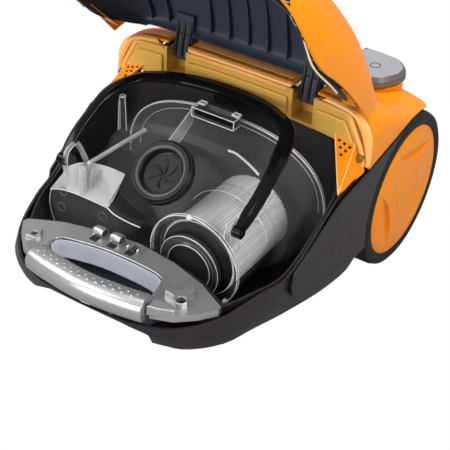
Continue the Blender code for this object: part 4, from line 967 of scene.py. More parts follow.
# grip: dimple rows pressed into the upper face
gp = spline([(-63, -203.2, 101.8), (-40, -208.4, 102.8), (0, -212.2, 103.2), (40, -208.4, 102.8), (63, -203.2, 101.8)], 40)
GK = 200
verts, faces = [], []
dimples = []
for row in range(4):
    for k in range(13):
        dimples.append((-55.5 + 8.8 * k + (4.4 if row % 2 else 0), 84 + 13.0 * row))
for i, p in enumerate(gp):
    P0, P1 = Vector(gp[max(i - 1, 0)]), Vector(gp[min(i + 1, len(gp) - 1)])
    d = (P1 - P0).normalized()
    a = Vector((d.y, -d.x, 0)).normalized()
    end = min(i, len(gp) - 1 - i) / 9.0
    sc = 1.0 if end >= 1 else math.sqrt(max(0.0, 1 - (1 - end) ** 2)) * 0.14 + 0.86
    for k in range(GK):
        t = 2 * math.pi * k / GK
        ct, st = math.cos(t), math.sin(t)
        ex = 2.0 / 2.4
        k1 = sc
        deg = math.degrees(t)
        for dx, da in dimples:
            if abs(p[0] - dx) < 2.0 and abs(deg - da) < 9:
                q = ((p[0] - dx) / 1.0) ** 2 + ((deg - da) * 0.225 / 1.0) ** 2
                if q < 4:
                    k1 += 0.055 * math.exp(-q * 1.5)
        verts.append(tuple(Vector(p) + (a * 12.7 * math.copysign(abs(ct) ** ex, ct) + Vector((0, 0, 1)) * 11.9 * math.copysign(abs(st) ** ex, st)) * k1))
for i in range(len(gp) - 1):
    bridge(faces, i * GK, (i + 1) * GK, GK)
faces.append(tuple(range(GK)))
faces.append(tuple(range((len(gp) - 1) * GK, len(gp) * GK)))
g = piece('grip_studded', verts, faces, SILVER, 'chassis', edge=0, ang=50)

# panel: rolled rim round the hand opening, far wall, socket hoops, star boss and screw boss
rim = [(-66, -186, 99.2), (-70.6, -174, 99.2), (-64.6, -162.4, 99.2), (-30, -154.6, 99.2), (0, -152.6, 99.2), (30, -153.4, 99.2), (46, -157.0, 99.2), (50.2, -164, 99.2), (55.4, -185, 99.2)]
rp = spline(rim, 6)
piece('panel_opening_rim', *bar(rp, 1.1, 14, 0.7), SILVER, 'chassis', edge=0)
lip = [(-66, -150.5), (-30, -142.5), (0, -140.5), (30, -142.5), (62, -151.5), (52, -160.0), (46.4, -156.4), (30, -152.8), (0, -152.2), (-30, -154.2), (-64.6, -161.8), (-70.6, -173), (-74, -168)]
v, f = rings_solid([[(x, y, z_) for x, y in lip] for z_ in (91.8, 99.06)])
piece('panel_rear_lip', v, f, SILVER, 'chassis', edge=0)
wall = spline([(-68.5, -176), (-63.5, -164.5), (-30, -156.2), (0, -154.2), (30, -155.0), (44.5, -158.6), (49.0, -168), (54.5, -186)], 6)
rows = [[(x, y, 97.5) for x, y in wall], [(x * 0.985, y - 1.6, 88.0) for x, y in wall], [(x * 0.97, y - 3.4, 80.0) for x, y in wall]]
v, f = sheet(rows, 1.0)
piece('hand_opening_wall', v, f, pmat('m_pale_slate', (0.62, 0.64, 0.72), (0.56, 0.58, 0.66), 0.34, 0.42, metal=0.1, bump=0.06), 'chassis', edge=0.0003)
for k, x in enumerate((-40, -20, 0)):
    y0 = -141.0 - abs(x) * 0.04
    hk = 0.45 if x == 0 else 1.0
    arc = spline([(y0 + 1.2, 98.6), (y0 + 0.6, 98.6 + 3.8 * hk), (y0 + 2.6, 98.6 + 6.8 * hk), (y0 + 6.0, 98.6 + 7.0 * hk), (y0 + 9.0, 98.6 + 5.2 * hk), (y0 + 10.4, 98.6)], 4)
    grid_h = [[(x - 5.4, yy, zz), (x - 2.7, yy, zz + 0.35), (x, yy, zz + 0.5), (x + 2.7, yy, zz + 0.35), (x + 5.4, yy, zz)] for yy, zz in arc]
    if x == 0:
        # open in the middle, where the lid's hook goes in
        v, f = merged([sheet([[(x + s_ * 5.0, yy, zz), (x + s_ * 6.4, yy, zz)] if s_ > 0 else [(x - 6.4, yy, zz), (x - 5.0, yy, zz)] for yy, zz in arc], 0.9) for s_ in (-1, 1)])
    else:
        v, f = sheet(grid_h, 1.1)
    piece('socket_hoop_%d' % k, v, f, SILVER, 'chassis', edge=0.0003)
    # square pocket in front of each hoop, floored with a near-black plate of painted shade
    BUILT['front_panel'] = cut(BUILT['front_panel'], make('c', *box(x - 4.6, x + 4.6, y0 - 6.4, y0 + 0.9, 90, 112), SILVER))
    v, f = box(x - 4.3, x + 4.3, y0 - 7.6, y0 - 0.4, 98.7, 99.3)
    piece('socket_floor_%d' % k, v, f, pmat('m_socket_%d' % k, (0.004, 0.004, 0.005), None, 0.6), 'chassis', edge=0.0001)


def boss(cx, cy, arms, rot, h, r_in):
    # star of tapering arms standing on the panel, flat on top
    pts = []
    n_a = len(arms)
    for k, L_ in enumerate(arms):
        a = rot + 2 * math.pi * k / n_a
        a2 = a + math.pi / n_a
        w_ = 0.30
        pts += [(cx + L_ * math.cos(a - w_), cy + L_ * math.sin(a - w_)), (cx + L_ * math.cos(a + w_), cy + L_ * math.sin(a + w_)),
                (cx + 6.4 * math.cos(a2), cy + 6.4 * math.sin(a2))]
    lo_ = [(x, y, 98.5) for x, y in pts]
    hi_ = [(cx + (x - cx) * 0.93, cy + (y - cy) * 0.93, 98.5 + h) for x, y in pts]
    v, f = rings_solid([lo_, hi_])
    ob = make('c', v, f, SILVER)
    v, f = cyl('z', (cx, cy, 0), r_in, 90, 130, 12)
    return cut(ob, make('c', v, f, SILVER))


yb = [(62.5, -176.2), (62.8, -169.6), (72.4, -168.6), (76.6, -157.8), (83.8, -158.6), (83.0, -168.6), (88.2, -173.6), (89.4, -179.0), (86.6, -184.0), (81.6, -185.6), (76.6, -183.4), (73.6, -177.8)]
v, f = rings_solid([[(x, y, 98.4) for x, y in yb], [(78 + (x - 78) * 0.95, -173 + (y + 173) * 0.95, 105.2) for x, y in yb]])
st_ = make('c', v, f, SILVER)
v, f = cyl('z', (82.6, -178.6, 0), 4.4, 90, 130, 16)
st_ = cut(st_, make('c', v, f, SILVER))
st_.name = 'panel_star_boss'
EXTRA.append((st_, 'chassis', 0.0006, 34, 2))
st_ = boss(-88, -177, (10.5, 9.0, 10.0), math.radians(95), 4.2, 3.0)
st_.name = 'panel_screw_boss'
EXTRA.append((st_, 'chassis', 0.0006, 34, 2))
plug = [(46.4, -155.2), (50.2, -163.5), (55.6, -186.0), (60.5, -191.5), (68.5, -190.0), (70.0, -172.0), (66.0, -160.0), (56.0, -152.5)]
v, f = rings_solid([[(x, y, z_) for x, y in plug] for z_ in (91.5, 98.95)])
piece('panel_end_plug', v, f, SILVER, 'chassis', edge=0.0012)
# near-black discs in the boss holes: painted shade
for nm, cx, cy, r_ in (('right', 82.6, -178.6, 4.4), ('left', -88, -177, 2.9)):
    v, f = cyl('z', (cx, cy, 0), r_, 98.7, 99.3, 12)
    piece('boss_floor_' + nm, v, f, pmat('m_hole_painted_shade_' + nm, (0.003, 0.003, 0.003), None, 0.8), 'chassis', edge=0)
# sloping light blocks where the grip meets the panel
for nm, sx in (('right', 1), ('left', -1)):
    q = [(64.8, -207.6), (64.8, -193.6), (70, -190.2), (82.5, -187.6), (86.0, -192.6), (82.0, -196.6), (74, -203.0)]
    lo_ = [(sx * x, y, 97.8) for x, y in q]
    hi_ = [(sx * (x * 0.985 + 1.0), y * 0.985 - 2.7, 108.4 - 0.24 * (x - 64)) for x, y in q]
    v, f = rings_solid([lo_, hi_])
    piece('grip_block_' + nm, v, f, SILVER, 'chassis', 0.0016, seg=3)

# lid liner: gussets and cross ribs standing on its inside, hinge arms with three ribs
def onliner(x, y, dz=0.0):
    rows_ = spline(LL, 4)
    best = min(rows_, key=lambda r: abs(r[0] - y))
    _, w_, b_, t_, n_ = best
    u = min(abs(x) / w_, 0.98)
    return b_ + (t_ - b_) * (1 - u ** n_) ** (1.0 / n_) - 2.0 + dz


gus = []
for x in (-112, -93, -44, -22, 0, 22, 44, 93, 112):
    ys = [14, 4, -8, -20, -32, -44, -56]
    top = [(y, onliner(x, y, 0.6)) for y in ys]
    low = [(y, onliner(x, y, -6.0 * max(0.0, (y + 58) / 72.0) - 0.8)) for y in reversed(ys)]
    v, f = prism(top + low, 'x', x - 0.8, x + 0.8)
    gus.append((opened(v), f))
v, f = merged(gus)
piece('liner_gussets', v, f, SLATE, 'lid', 0.0002)
for k, y in enumerate((-60, -104)):
    prof_ = []
    xs = [-118 + 236 * i / 48 for i in range(49)]
    xs = [x for x in xs if abs(x) < (118 if k == 0 else 102)]
    up_ = [(x, onliner(x, y, 0.6)) for x in xs]
    dn_ = [(x, onliner(x, y, -4.6)) for x in reversed(xs)]
    v, f = prism(up_ + dn_, 'y', y - 0.8, y + 0.8)
    v = [p for p in v]
    ob = make('c', opened(v), f, SLATE)
    tv, tf = port_tool(36, -60, 90)
    ob = cut(ob, make('c', tv, tf, SLATE))
    ob.name = 'liner_cross_rib_%d' % k
    EXTRA.append((ob, 'lid', 0.0002, 34, 2))
for nm, sx in (('right', 1), ('left', -1)):
    rb = []
    for o_ in (66.4, 74.1, 81.8):
        a_, b_ = sorted((sx * (o_ - 1.3), sx * (o_ + 1.3)))
        arm_ = [(46, 211.6), (30, 217.6), (16, 222.4), (4, 223.6), (4, 216), (18, 208.5), (34, 200.2), (43, 199.0), (48, 202)]
        v, f = prism(arm_, 'x', a_, b_)
        rb.append((opened(v), f))
    v, f = merged(rb)
    piece('hinge_arm_ribs_' + nm, v, f, BLACK, 'lid', 0.0004)

# lid rim: pale line on the inner edge, a painted highlight along the rolled edge; dark slot with cross ticks outside it
# pale cream bead colour: painted highlight along the lid's inner edge
RIM_PAINTED_HIGHLIGHT = pmat('m_rim_painted_highlight', (0.92, 0.74, 0.45), None, 0.3)
for nm, sx in (('right', 1), ('left', -1)):
    rows_ = spline(LS[1:8], 6)
    rl = spline(LL[2:8], 6)
    line = []
    for y_, w_, b_, t_, n_ in rl:
        if y_ < -34:
            line.append((sx * (w_ + 0.6), y_, b_ - 0.3))
    v, f = bar(line, 0.95, 10)
    piece('lid_rim_bead_' + nm, opened(v), f, RIM_PAINTED_HIGHLIGHT, 'lid', 0)
    band_ = []
    for y_, w_, b_, t_, n_ in rows_:
        r2_ = min(rl, key=lambda r: abs(r[0] - y_))
        band_.append([(sx * (r2_[1] + 0.9), y_, b_ + 1.4), (sx * (w_ - 2.0), y_, b_ + 1.4)])
    v, f = sheet(band_, 0.5)
    piece('lid_rim_slot_' + nm, opened(v), f, RUBBER, 'lid', 0)
    fin = []
    for y_, w_, b_, t_, n_ in rows_:
        if y_ > -38:
            r2_ = min(rl, key=lambda r: abs(r[0] - y_))
            xa, xb = r2_[1] - 5.0, w_ - 1.5
            fr = 0.60 + 0.16 * math.sin(math.pi * min(1.0, (y_ + 38) / 60.0))
            fin.append([(sx * xa, y_, b_ - 0.6), (sx * (xa + (xb - xa) * fr), y_, b_ + 0.7)])
    v, f = sheet(fin, 0.4)
    piece('lid_corner_fin_' + nm, opened(v), f, YELLOW, 'lid', 0)
    ticks = []
    for i in range(4, len(rows_) - 2, 5):
        y_, w_, b_, t_, n_ = rows_[i]
        r2_ = min(rl, key=lambda r: abs(r[0] - y_))
        xa, xb = sorted((sx * (r2_[1] + 0.9), sx * (w_ - 1.6)))
        ticks.append(box(xa, xb, y_ - 0.4, y_ + 0.4, b_ + 0.4, b_ + 1.8))
    v, f = merged(ticks)
    piece('lid_rim_ticks_' + nm, opened(v), f, GREY, 'lid', 0)

# bulkhead: raised ledge panels between and outside the notches
for k, (x0, x1) in enumerate(((-58, 58), (90, 124), (-124, -90))):
    if k == 0:
        q = [(x0, 187.5), (x1, 187.5), (x1, 208.6), (40, 209.8), (0, 210.4), (-40, 209.8), (x0, 208.6)]
    elif x0 > 0:
        q = [(x0, 186.0), (126, 180.5), (133, 184.0), (121.5, 205.4), (x0, 207.0)]
    else:
        q = [(-x1, 186.0), (126, 180.5), (133, 184.0), (121.5, 205.4), (-x1, 207.0)]
        q = [(-x, z) for x, z in q]
    a_ = [(x, 29.7, z) for x, z in q]
    b_ = [(x * 0.996, 26.6, z - 0.6) for x, z in q]
    v, f = rings_solid([a_, b_])
    piece('bulkhead_ledge_%d' % k, v, f, GOLD, 'chassis', 0.0011, seg=3)
def ray_hit(poly, phi, c=(0.0, 165.0)):
    dx, dz = math.cos(phi), math.sin(phi)
    best = None
    for (x0, z0), (x1, z1) in zip(poly, poly[1:]):
        ex, ez = x1 - x0, z1 - z0
        den = dx * ez - dz * ex
        if abs(den) < 1e-9:
            continue
        t = ((x0 - c[0]) * ez - (z0 - c[1]) * ex) / den
        s = ((x0 - c[0]) * dz - (z0 - c[1]) * dx) / den
        if t > 0 and -1e-6 <= s <= 1 + 1e-6 and (best is None or t > best):
            best = t
    return None if best is None else (c[0] + dx * best, c[1] + dz * best)


IN_O = [(-145.2, 158.0), (-145, 170), (-140, 184), (-125.5, 210.5), (-119, 213.6), (-60, 217.0), (0, 218.0), (60, 217.0), (119, 213.6), (125.5, 210.5), (140, 184), (145, 170), (145.2, 158.0)]
OUT_O = [(p[0], p[2]) for p in usection(34, 149.6, 158.0, 221.6, 5.0, 160)]
# painted highlight: a lighter copy of the yellow for the lit bulkhead lip, the band, the strip behind the groove and
# the vent borders
CREAM_PAINTED_HIGHLIGHT = pmat('m_cream_painted_highlight', (0.93, 0.47, 0.13), (0.90, 0.44, 0.11), 0.34, 0.40, bump=0.03)
# painted shade: a darker copy of the yellow for the gap between bulkhead and cover and the channel behind it
GROOVE_PAINTED_SHADE = pmat('m_groove_painted_shade', (0.62, 0.16, 0.006), (0.56, 0.14, 0.005), 0.42)
segs, cur = [], []
for i in range(-2, 363):
    phi = math.radians(i * 0.5)
    a_, b_ = ray_hit(IN_O, phi), ray_hit(OUT_O, phi)
    ok = a_ is not None and b_ is not None and not (57.5 < abs(a_[0]) < 90.5 and a_[1] > 195)
    if ok:
        cur.append((phi, a_, b_))
    elif cur:
        segs.append(cur)
        cur = []
if cur:
    segs.append(cur)
for k, sg in enumerate(s for s in segs if len(s) > 4):
    gr_rows, bd_rows, lp_rows = [], [], []
    for phi, a_, b_ in sg:
        A_ = Vector((a_[0], 0, a_[1]))
        B_ = Vector((b_[0], 0, b_[1]))
        if (B_ - A_).length < 1.0:
            B_ = A_ + Vector((math.cos(phi), 0, math.sin(phi))) * 1.0
        D_ = (B_ - A_).normalized()
        P_ = lambda t, y_: tuple(A_ + (B_ - A_) * t + Vector((0, y_, 0)))
        gr_rows.append([P_(-0.05, 32.6), P_(0.18, 34.0), P_(0.38, 33.4)])
        bd_rows.append([P_(0.34, 33.6), P_(0.38, 31.6), P_(0.55, 30.6), P_(0.78, 31.0), P_(0.95, 32.4), P_(1.0, 34.2)])
        lp_rows.append([tuple(A_ - D_ * 2.8 + Vector((0, 29.5, 0))), tuple(A_ - D_ * 2.2 + Vector((0, 28.6, 0))), tuple(A_ - D_ * 0.8 + Vector((0, 28.3, 0))),
                        tuple(A_ + D_ * 0.3 + Vector((0, 29.2, 0))), tuple(A_ + D_ * 0.5 + Vector((0, 32.6, 0)))])
    for nm, rows_, mt, th in (('groove', gr_rows, GROOVE_PAINTED_SHADE, 0.6), ('band', bd_rows, CREAM_PAINTED_HIGHLIGHT, 1.0), ('lip', lp_rows, CREAM_PAINTED_HIGHLIGHT, 0.5)):
        v, f = sheet(rows_, th)
        piece('cover_%s_%d' % (nm, k), v, f, mt, 'chassis', edge=0.0002, ang=40)
# strip of the cover just behind the groove, seen under the open lid; the strip carries painted highlight, its channel
# painted shade
for k, (xa, xb) in enumerate(((-57, 57), (91, 120), (-120, -91))):
    for nm, ya, yb, up_, mt in (('strip', 39.5, 47.0, 1.3, CREAM_PAINTED_HIGHLIGHT), ('channel', 34.6, 39.6, 0.45, GROOVE_PAINTED_SHADE)):
        rows_ = []
        for yy in (ya, (ya + yb) / 2, yb):
            s_ = (yy - 34) / 26.0
            sec = usection(yy, 150, 158.6 + 4.9 * s_, 222 - 1.0 * s_, 5.0 - 0.4 * s_, 240)
            row = []
            for i in range(25):
                xx = xa + (xb - xa) * i / 24.0
                q = min((p for p in sec if p[2] > 195), key=lambda p: abs(p[0] - xx))
                row.append((xx, yy, q[2] + up_))
            rows_.append(row)
        v, f = sheet(rows_, 0.4)
        piece('cover_%s_%d' % (nm, k), v, f, mt, 'chassis', edge=0.0002)

# gusset between the rim of the bay and the bulkhead: raised border, six square holes, cone boss beside it; the holes
# are backed with near-black plates of painted shade and the border is in painted-highlight cream
VA, VB, VC = Vector((111.5, 29.2, 190.6)), Vector((134.4, 29.2, 183.0)), Vector((143.1, -14, 153.0))
VN = (VB - VA).cross(VC - VA).normalized()
if VN.z < 0:
    VN = -VN
for nm, sx in (('right', 1), ('left', -1)):
    parts_ = []
    e1 = (VB - VA).normalized()
    e2 = VN.cross(e1).normalized()
    for s_, t_ in ((0.205, 0.105), (0.46, 0.105), (0.715, 0.105), (0.235, 0.212), (0.49, 0.212), (0.255, 0.322)):
        c_ = VA + (VB - VA) * s_ + (VC - VA) * t_
        q = [c_ + e1 * a + e2 * b for a, b in ((-1.5, -1.5), (1.5, -1.5), (1.5, 1.5), (-1.5, 1.5))]
        r0_ = [(sx * (p + VN * 2).x, (p + VN * 2).y, (p + VN * 2).z) for p in q]
        r1_ = [(sx * (p - VN * 1.3).x, (p - VN * 1.3).y, (p - VN * 1.3).z) for p in q]
        parts_.append((r0_, r1_))
    v, f = merged([rings_solid([a_, b_]) for a_, b_ in parts_])
    tgt = BUILT['side_vent_' + nm]
    tgt.data.materials[0] = YELLOW
    cutter = make('c', v, f, YELLOW)
    BUILT['side_vent_' + nm] = cut(tgt, cutter)
    # near-black plates behind the square holes: painted shade
    v, f = merged([rings_solid([[(sx * (Vector((sx * p[0], p[1], p[2])) - VN * 1.0).x, (Vector((sx * p[0], p[1], p[2])) - VN * 1.0).y, (Vector((sx * p[0], p[1], p[2])) - VN * 1.0).z) for p in b_],
                                [(sx * (Vector((sx * p[0], p[1], p[2])) + VN * 0.25).x, (Vector((sx * p[0], p[1], p[2])) + VN * 0.25).y, (Vector((sx * p[0], p[1], p[2])) + VN * 0.25).z) for p in b_]]) for a_, b_ in parts_])
    piece('vent_painted_shade_' + nm, v, f, pmat('m_vent_dark_' + nm, (0.008, 0.005, 0.002), None, 0.7), 'chassis', edge=0)
    edge_pts = [VC + VN * 0.3, VA + VN * 0.3, VB + VN * 0.3, VC + VN * 0.3]
    parts_ = []
    for p0, p1 in zip(edge_pts, edge_pts[1:]):
        parts_.append(sweep([(sx * p.x, p.y, p.z) for p in (p0, (p0 + p1) / 2, p1)], 0.85, 10))
    v, f = merged(parts_)
    piece('vent_border_' + nm, v, f, CREAM_PAINTED_HIGHLIGHT, 'chassis', edge=0)
    v, f = rings_solid([[(sx * 142.0 + r_ * math.cos(2 * math.pi * k / 32), y_, 171.5 + r_ * 1.25 * math.sin(2 * math.pi * k / 32)) for k in range(32)] for y_, r_ in ((30.4, 3.4), (24.6, 3.0), (23.8, 2.4))])
    piece('side_boss_' + nm, v, f, pmat('m_olive_' + nm, (0.20, 0.12, 0.02), None, 0.4), 'chassis', edge=0.0003)

# inlet flap: curved slits fanning out, and moulded beads on the inlet gasket
parts_ = []
for k in range(6):
    a0 = 2 * math.pi * k / 6 + 0.35
    path = []
    for i in range(9):
        t = i / 8.0
        r_ = 1.5 + 14.5 * t
        a = a0 + 0.55 * t * t
        path.append((r_ * math.cos(a) + 1.5 * (1 - t), r_ * math.sin(a) - 2.5 * (1 - t), -1.65))
    parts_.append(sweep(path, lambda t: 0.25 + 1.15 * math.sin(math.pi * (0.15 + 0.85 * t)) if t < 1 else 0.25, 10, 0.5))
v, f = merged(parts_)
piece('flap_petals', along(v, INLET_C, INLET_N), f, GLOSSBLACK, 'flap', 0)
GASKET = pmat('m_gasket', (0.007, 0.007, 0.0075), (0.010, 0.010, 0.0105), 0.34, 0.42, bump=0.05, spec=0.12)
RINGGREY = pmat('m_ring_grey', (0.045, 0.045, 0.047), (0.055, 0.055, 0.057), 0.28, 0.34, bump=0.02, spec=0.3)
BEADGREY = pmat('m_bead_grey', (0.16, 0.16, 0.165), None, 0.3)
BUILT['inlet_ring'].data.materials[0] = GASKET
for k, (r_, h_, w_, mt) in enumerate(((30.6, 1.6, 0.7, GASKET), (27.9, 4.0, 0.30, RINGGREY), (24.4, 3.8, 1.9, RINGGREY))):
    v, f = revolve([(h_ - 0.3, r_ - w_), (h_ - 0.3, r_ + w_), (h_ + 0.45, r_ + w_ * 0.4), (h_ + 0.45, r_ - w_ * 0.4)], 'z', (0, 0, 0), 32)
    piece('inlet_ring_bead_%d' % k, along(v, INLET_C, INLET_N), f, mt, 'bin', 0)

# filter: fine pleats with crease lines of painted shade, dark core (painted shade inside the filter and its outlet,
# with a dark end cap), stepped outlet rings with painted-highlight beads and locking lugs
NPF = 84
rings = []
for yy, ro, ri in ((-111.0, 39.8, 36.4), (-14.0, 39.8, 36.4)):
    rings.append([(FILTER_X + (ro if k % 2 == 0 else ri) * math.cos(math.pi * k / NPF), yy, FILTER_Z + (ro if k % 2 == 0 else ri) * math.sin(math.pi * k / NPF)) for k in range(2 * NPF)])
for yy, ro, ri in ((-14.0, 34.6, 33.0), (-111.0, 34.6, 33.0)):
    rings.append([(FILTER_X + (ro if k % 2 == 0 else ri) * math.cos(math.pi * k / NPF), yy, FILTER_Z + (ro if k % 2 == 0 else ri) * math.sin(math.pi * k / NPF)) for k in range(2 * NPF)])
v, f = loop_solid(rings)
PLEATS = piece('pleats_fine', v, f, FILTERM, 'bin', 0, ang=20)
# grey crease lines on the white pleats: painted shade in the pleat valleys
parts_ = []
for k in range(46):
    a_ = math.radians(-20 + 4.3 * k)
    parts_.append(sweep([(FILTER_X + 40.3 * math.cos(a_), yy, FILTER_Z + 40.3 * math.sin(a_)) for yy in (-110.5, -62.0, -16.0)], 0.24 + 0.09 * ((k * 7) % 3), 6))
v, f = merged(parts_)
piece('pleat_creases', v, f, pmat('m_crease_painted_shade', (0.56, 0.565, 0.58), None, 0.7), 'bin', 0)
# pale bead colour for the clear plastic: painted highlights along its edges, also used on small clear parts
CLEAR_EDGE_PAINTED_HIGHLIGHT = pmat('m_clear_edge_painted_highlight', (0.66, 0.675, 0.69), (0.52, 0.535, 0.55), 0.10, 0.2, bump=0.0)
SMOKE = pmat('m_smoke', (0.030, 0.031, 0.033), (0.040, 0.041, 0.043), 0.16, 0.22, bump=0.01)
# near-black for the outlet opening: painted shade
PAINTED_SHADE_CORE = pmat('m_core', (0.003, 0.003, 0.003), None, 0.8)
OX, OZ = 48.5, 88.5
ring_a = revolve([(-118.2, 23.4), (-118.6, 25.4), (-117.2, 26.6), (-118.4, 28.4), (-118.4, 31.0), (-117.0, 33.2), (-112.5, 33.2), (-112.5, 23.4)], 'y', (OX, 0, OZ), 32)
ring_b = revolve([(-113.2, 41.6), (-113.2, 43.2), (-111.5, 43.2), (-111.5, 41.6)], 'y', (FILTER_X, 0, FILTER_Z), 32)
v, f = merged([ring_a, ring_b])
OUTLET = piece('outlet_plate', v, f, SMOKE, 'bin', 0.0002)
v, f = revolve([(-116.6, 0.0), (-116.6, 23.6), (-112.0, 23.6), (-112.0, 0.0)], 'y', (OX, 0, OZ), 32)
piece('outlet_painted_shade', v, f, PAINTED_SHADE_CORE, 'bin', 0)
# dark disc over the pleat ends is the filter's end cap; the dark cylinder filling the filter is painted shade of its
# hollow inside
v, f = revolve([(-111.6, 0.0), (-111.6, 38.4), (-110.8, 38.4), (-110.8, 33.0), (-16.0, 33.0), (-16.0, 0.0)], 'y', (FILTER_X, 0, FILTER_Z), 32)
piece('filter_cap_and_painted_shade_core', v, f, pmat('m_filter_cap_and_painted_shade', (0.010, 0.010, 0.011), None, 0.3), 'bin', 0)
for k, (rc, w_, yy, mt) in enumerate(((23.6, 0.40, -118.4, CLEAR_EDGE_PAINTED_HIGHLIGHT), (27.6, 0.25, -118.2, BEADGREY), (32.6, 0.40, -118.0, CLEAR_EDGE_PAINTED_HIGHLIGHT))):
    v, f = revolve([(yy, rc - w_), (yy - 0.5, rc), (yy, rc + w_), (yy + 0.5, rc)], 'y', (OX, 0, OZ), 48)
    piece('outlet_bead_%d' % k, v, f, mt, 'bin', 0)
parts_ = []
for k in range(3):
    a0 = 120 * k + 75
    q = [(OX + 23.2 * math.cos(math.radians(a0 + 4 * j)), OZ + 23.2 * math.sin(math.radians(a0 + 4 * j))) for j in range(12)]
    q += [(OX + 20.6 * math.cos(math.radians(a0 + 4 * j)), OZ + 20.6 * math.sin(math.radians(a0 + 4 * j))) for j in range(11, -1, -1)]
    parts_.append(prism(q, 'y', -117.9, -116.4))
v, f = merged(parts_)
piece('outlet_lugs', v, f, SMOKE, 'bin', 0.0002)

# clear beads (painted highlights along the edges), moulding marks and guide clips on the bin
def rod(pts, r, k=6):
    return bar(spline(pts, k), r, 12)


def arc_of(cx, cz, w_, hu, hd, yy, a0, a1, n=80):
    pts = []
    for i in range(n + 1):
        t = math.radians(a0 + (a1 - a0) * i / n)
        c, s2 = math.cos(t), math.sin(t)
        h = hu if s2 >= 0 else hd
        pts.append((cx + w_ * math.copysign(abs(c) ** 0.8, c), yy, cz + h * math.copysign(abs(s2) ** 0.8, s2)))
    return pts


parts_ = [sweep(arc_of(6, 104, 117.4, 78.4, 53, 2.4, -4, 184), 0.75, 8),
          sweep(arc_of(6, 104, 117.4, 78.4, 53, 5.2, -4, 184), 0.45, 8),
          sweep(arc_of(6, 104, 108.3, 69.3, 45, 7.6, 2, 178), 0.4, 8)]
for cx, cz, R_, yy, a0, a1, w_ in ((LOBE_X, LOBE_Z, LOBE_R + 0.1, BIN_FRONT, 150, 215, 0.4), (FILTER_X, FILTER_Z, 48.6, BIN_FRONT, -60, 190, 0.62),
                                   (FILTER_X, FILTER_Z, 48.6, BIN_FRONT + 3.4, -60, 190, 0.5), (FILTER_X, FILTER_Z, 46.2, -62.0, 10, 150, 0.45)):
    pts = [(cx + R_ * math.cos(math.radians(a0 + (a1 - a0) * i / 90.0)), yy, cz + R_ * math.sin(math.radians(a0 + (a1 - a0) * i / 90.0))) for i in range(91)]
    parts_.append(sweep(pts, w_, 8))
v, f = merged(parts_)
piece('bin_edge_beads', v, f, CLEAR_EDGE_PAINTED_HIGHLIGHT, 'bin', 0)
MILK = pmat('m_milky_clear', (0.66, 0.67, 0.68), (0.60, 0.61, 0.62), 0.16, 0.24, bump=0.02, alpha=0.40)
# sloping crown plate of the left chamber with its front and side ribs, bright shoulder rib along the top; the plate's
# milky pale tone is painted light on its lit top, and the brightness of the ribs and the shoulder rib is painted
# highlight
front_e = spline([(-117, -119.3, 110), (-104, -119.3, 114.8), (-88, -119.3, 117.2), (-66, -119.3, 117.6), (-46, -119.3, 117.0)], 4)
back_e = spline([(-107, -101, 131.5), (-98, -96.5, 136.0), (-85, -93.5, 139.3), (-66, -91.5, 141.0), (-47, -90.5, 139.8)], 4)
rows_ = []
for t in (0, 0.25, 0.5, 0.75, 1.0):
    rows_.append([tuple(Vector(a_) * (1 - t) + Vector(b_) * t + Vector((0, -0.4, 0.5)) * math.sin(math.pi * t)) for a_, b_ in zip(front_e, back_e)])
v, f = sheet(rows_, 0.5)
piece('chamber_crown', v, f, MILK, 'bin', 0)
parts_ = [sweep([(p[0], p[1] - 0.3, p[2]) for p in front_e], 0.42, 8), sweep(back_e, 0.36, 8),
          sweep(spline([(-46, -119.6, 117.0), (-44.4, -112, 124.5), (-45.2, -102, 133.0), (-47, -90.5, 139.8)], 5), 0.42, 8),
          sweep(spline([(-46, -119.6, 117.0), (-36, -119.8, 112.8), (-20, -119.8, 111.0), (-6.7, -119.8, 111.0)], 5), 0.65, 8)]
v, f = merged(parts_)
piece('chamber_ribs', v, f, CLEAR_EDGE_PAINTED_HIGHLIGHT, 'bin', 0)
sh = [(-86, -97, 141.0), (-86, -72, 139.0), (-86, -40, 137.6), (-86, -6, 135.4)]
piece('chamber_shoulder', *bar(spline(sh, 4), 2.3, 12), pmat('m_milk_rib_painted_highlight', (0.78, 0.79, 0.80), None, 0.2, alpha=0.85), 'bin', 0)
# web from the inlet neck up to the latch
v, f = prism([(-84, 152), (-10, 186), (-10, 169), (-50, 146)], 'x', -25.2, -23.8)
piece('neck_web', v, f, MILK, 'bin', 0.0003)
# bright lines along the web's edges: painted highlights
w_ = [sweep(q, 0.45, 8) for q in ([(-24.5, -84, 152), (-24.5, -47, 169), (-24.5, -10, 186)], [(-24.5, -10, 186), (-24.5, -10, 177), (-24.5, -10, 169)], [(-24.5, -10, 169), (-24.5, -30, 157.5), (-24.5, -50, 146)])]
v, f = merged(w_)
piece('neck_web_edges', v, f, CLEAR_EDGE_PAINTED_HIGHLIGHT, 'bin', 0)
# left bail bracket: arch standing on the chamber, hexagon-footed pillar in front
arch = spline([(-97, -117.5, 133), (-97, -118.5, 148), (-97, -117.0, 156.5), (-97, -110.5, 161.5), (-97, -102.0, 161.5), (-97, -95.5, 152), (-97, -88.0, 136.0)], 4)
piece('bracket_arch', *bar(arch, 2.2, 12, 1.5), MILK, 'bin', 0)
v, f = cyl('x', (0, -101, 150), 7.6, -101.4, -98.6, 20)
piece('bracket_pad', v, f, GLOSSBLACK, 'bin', 0.0006)
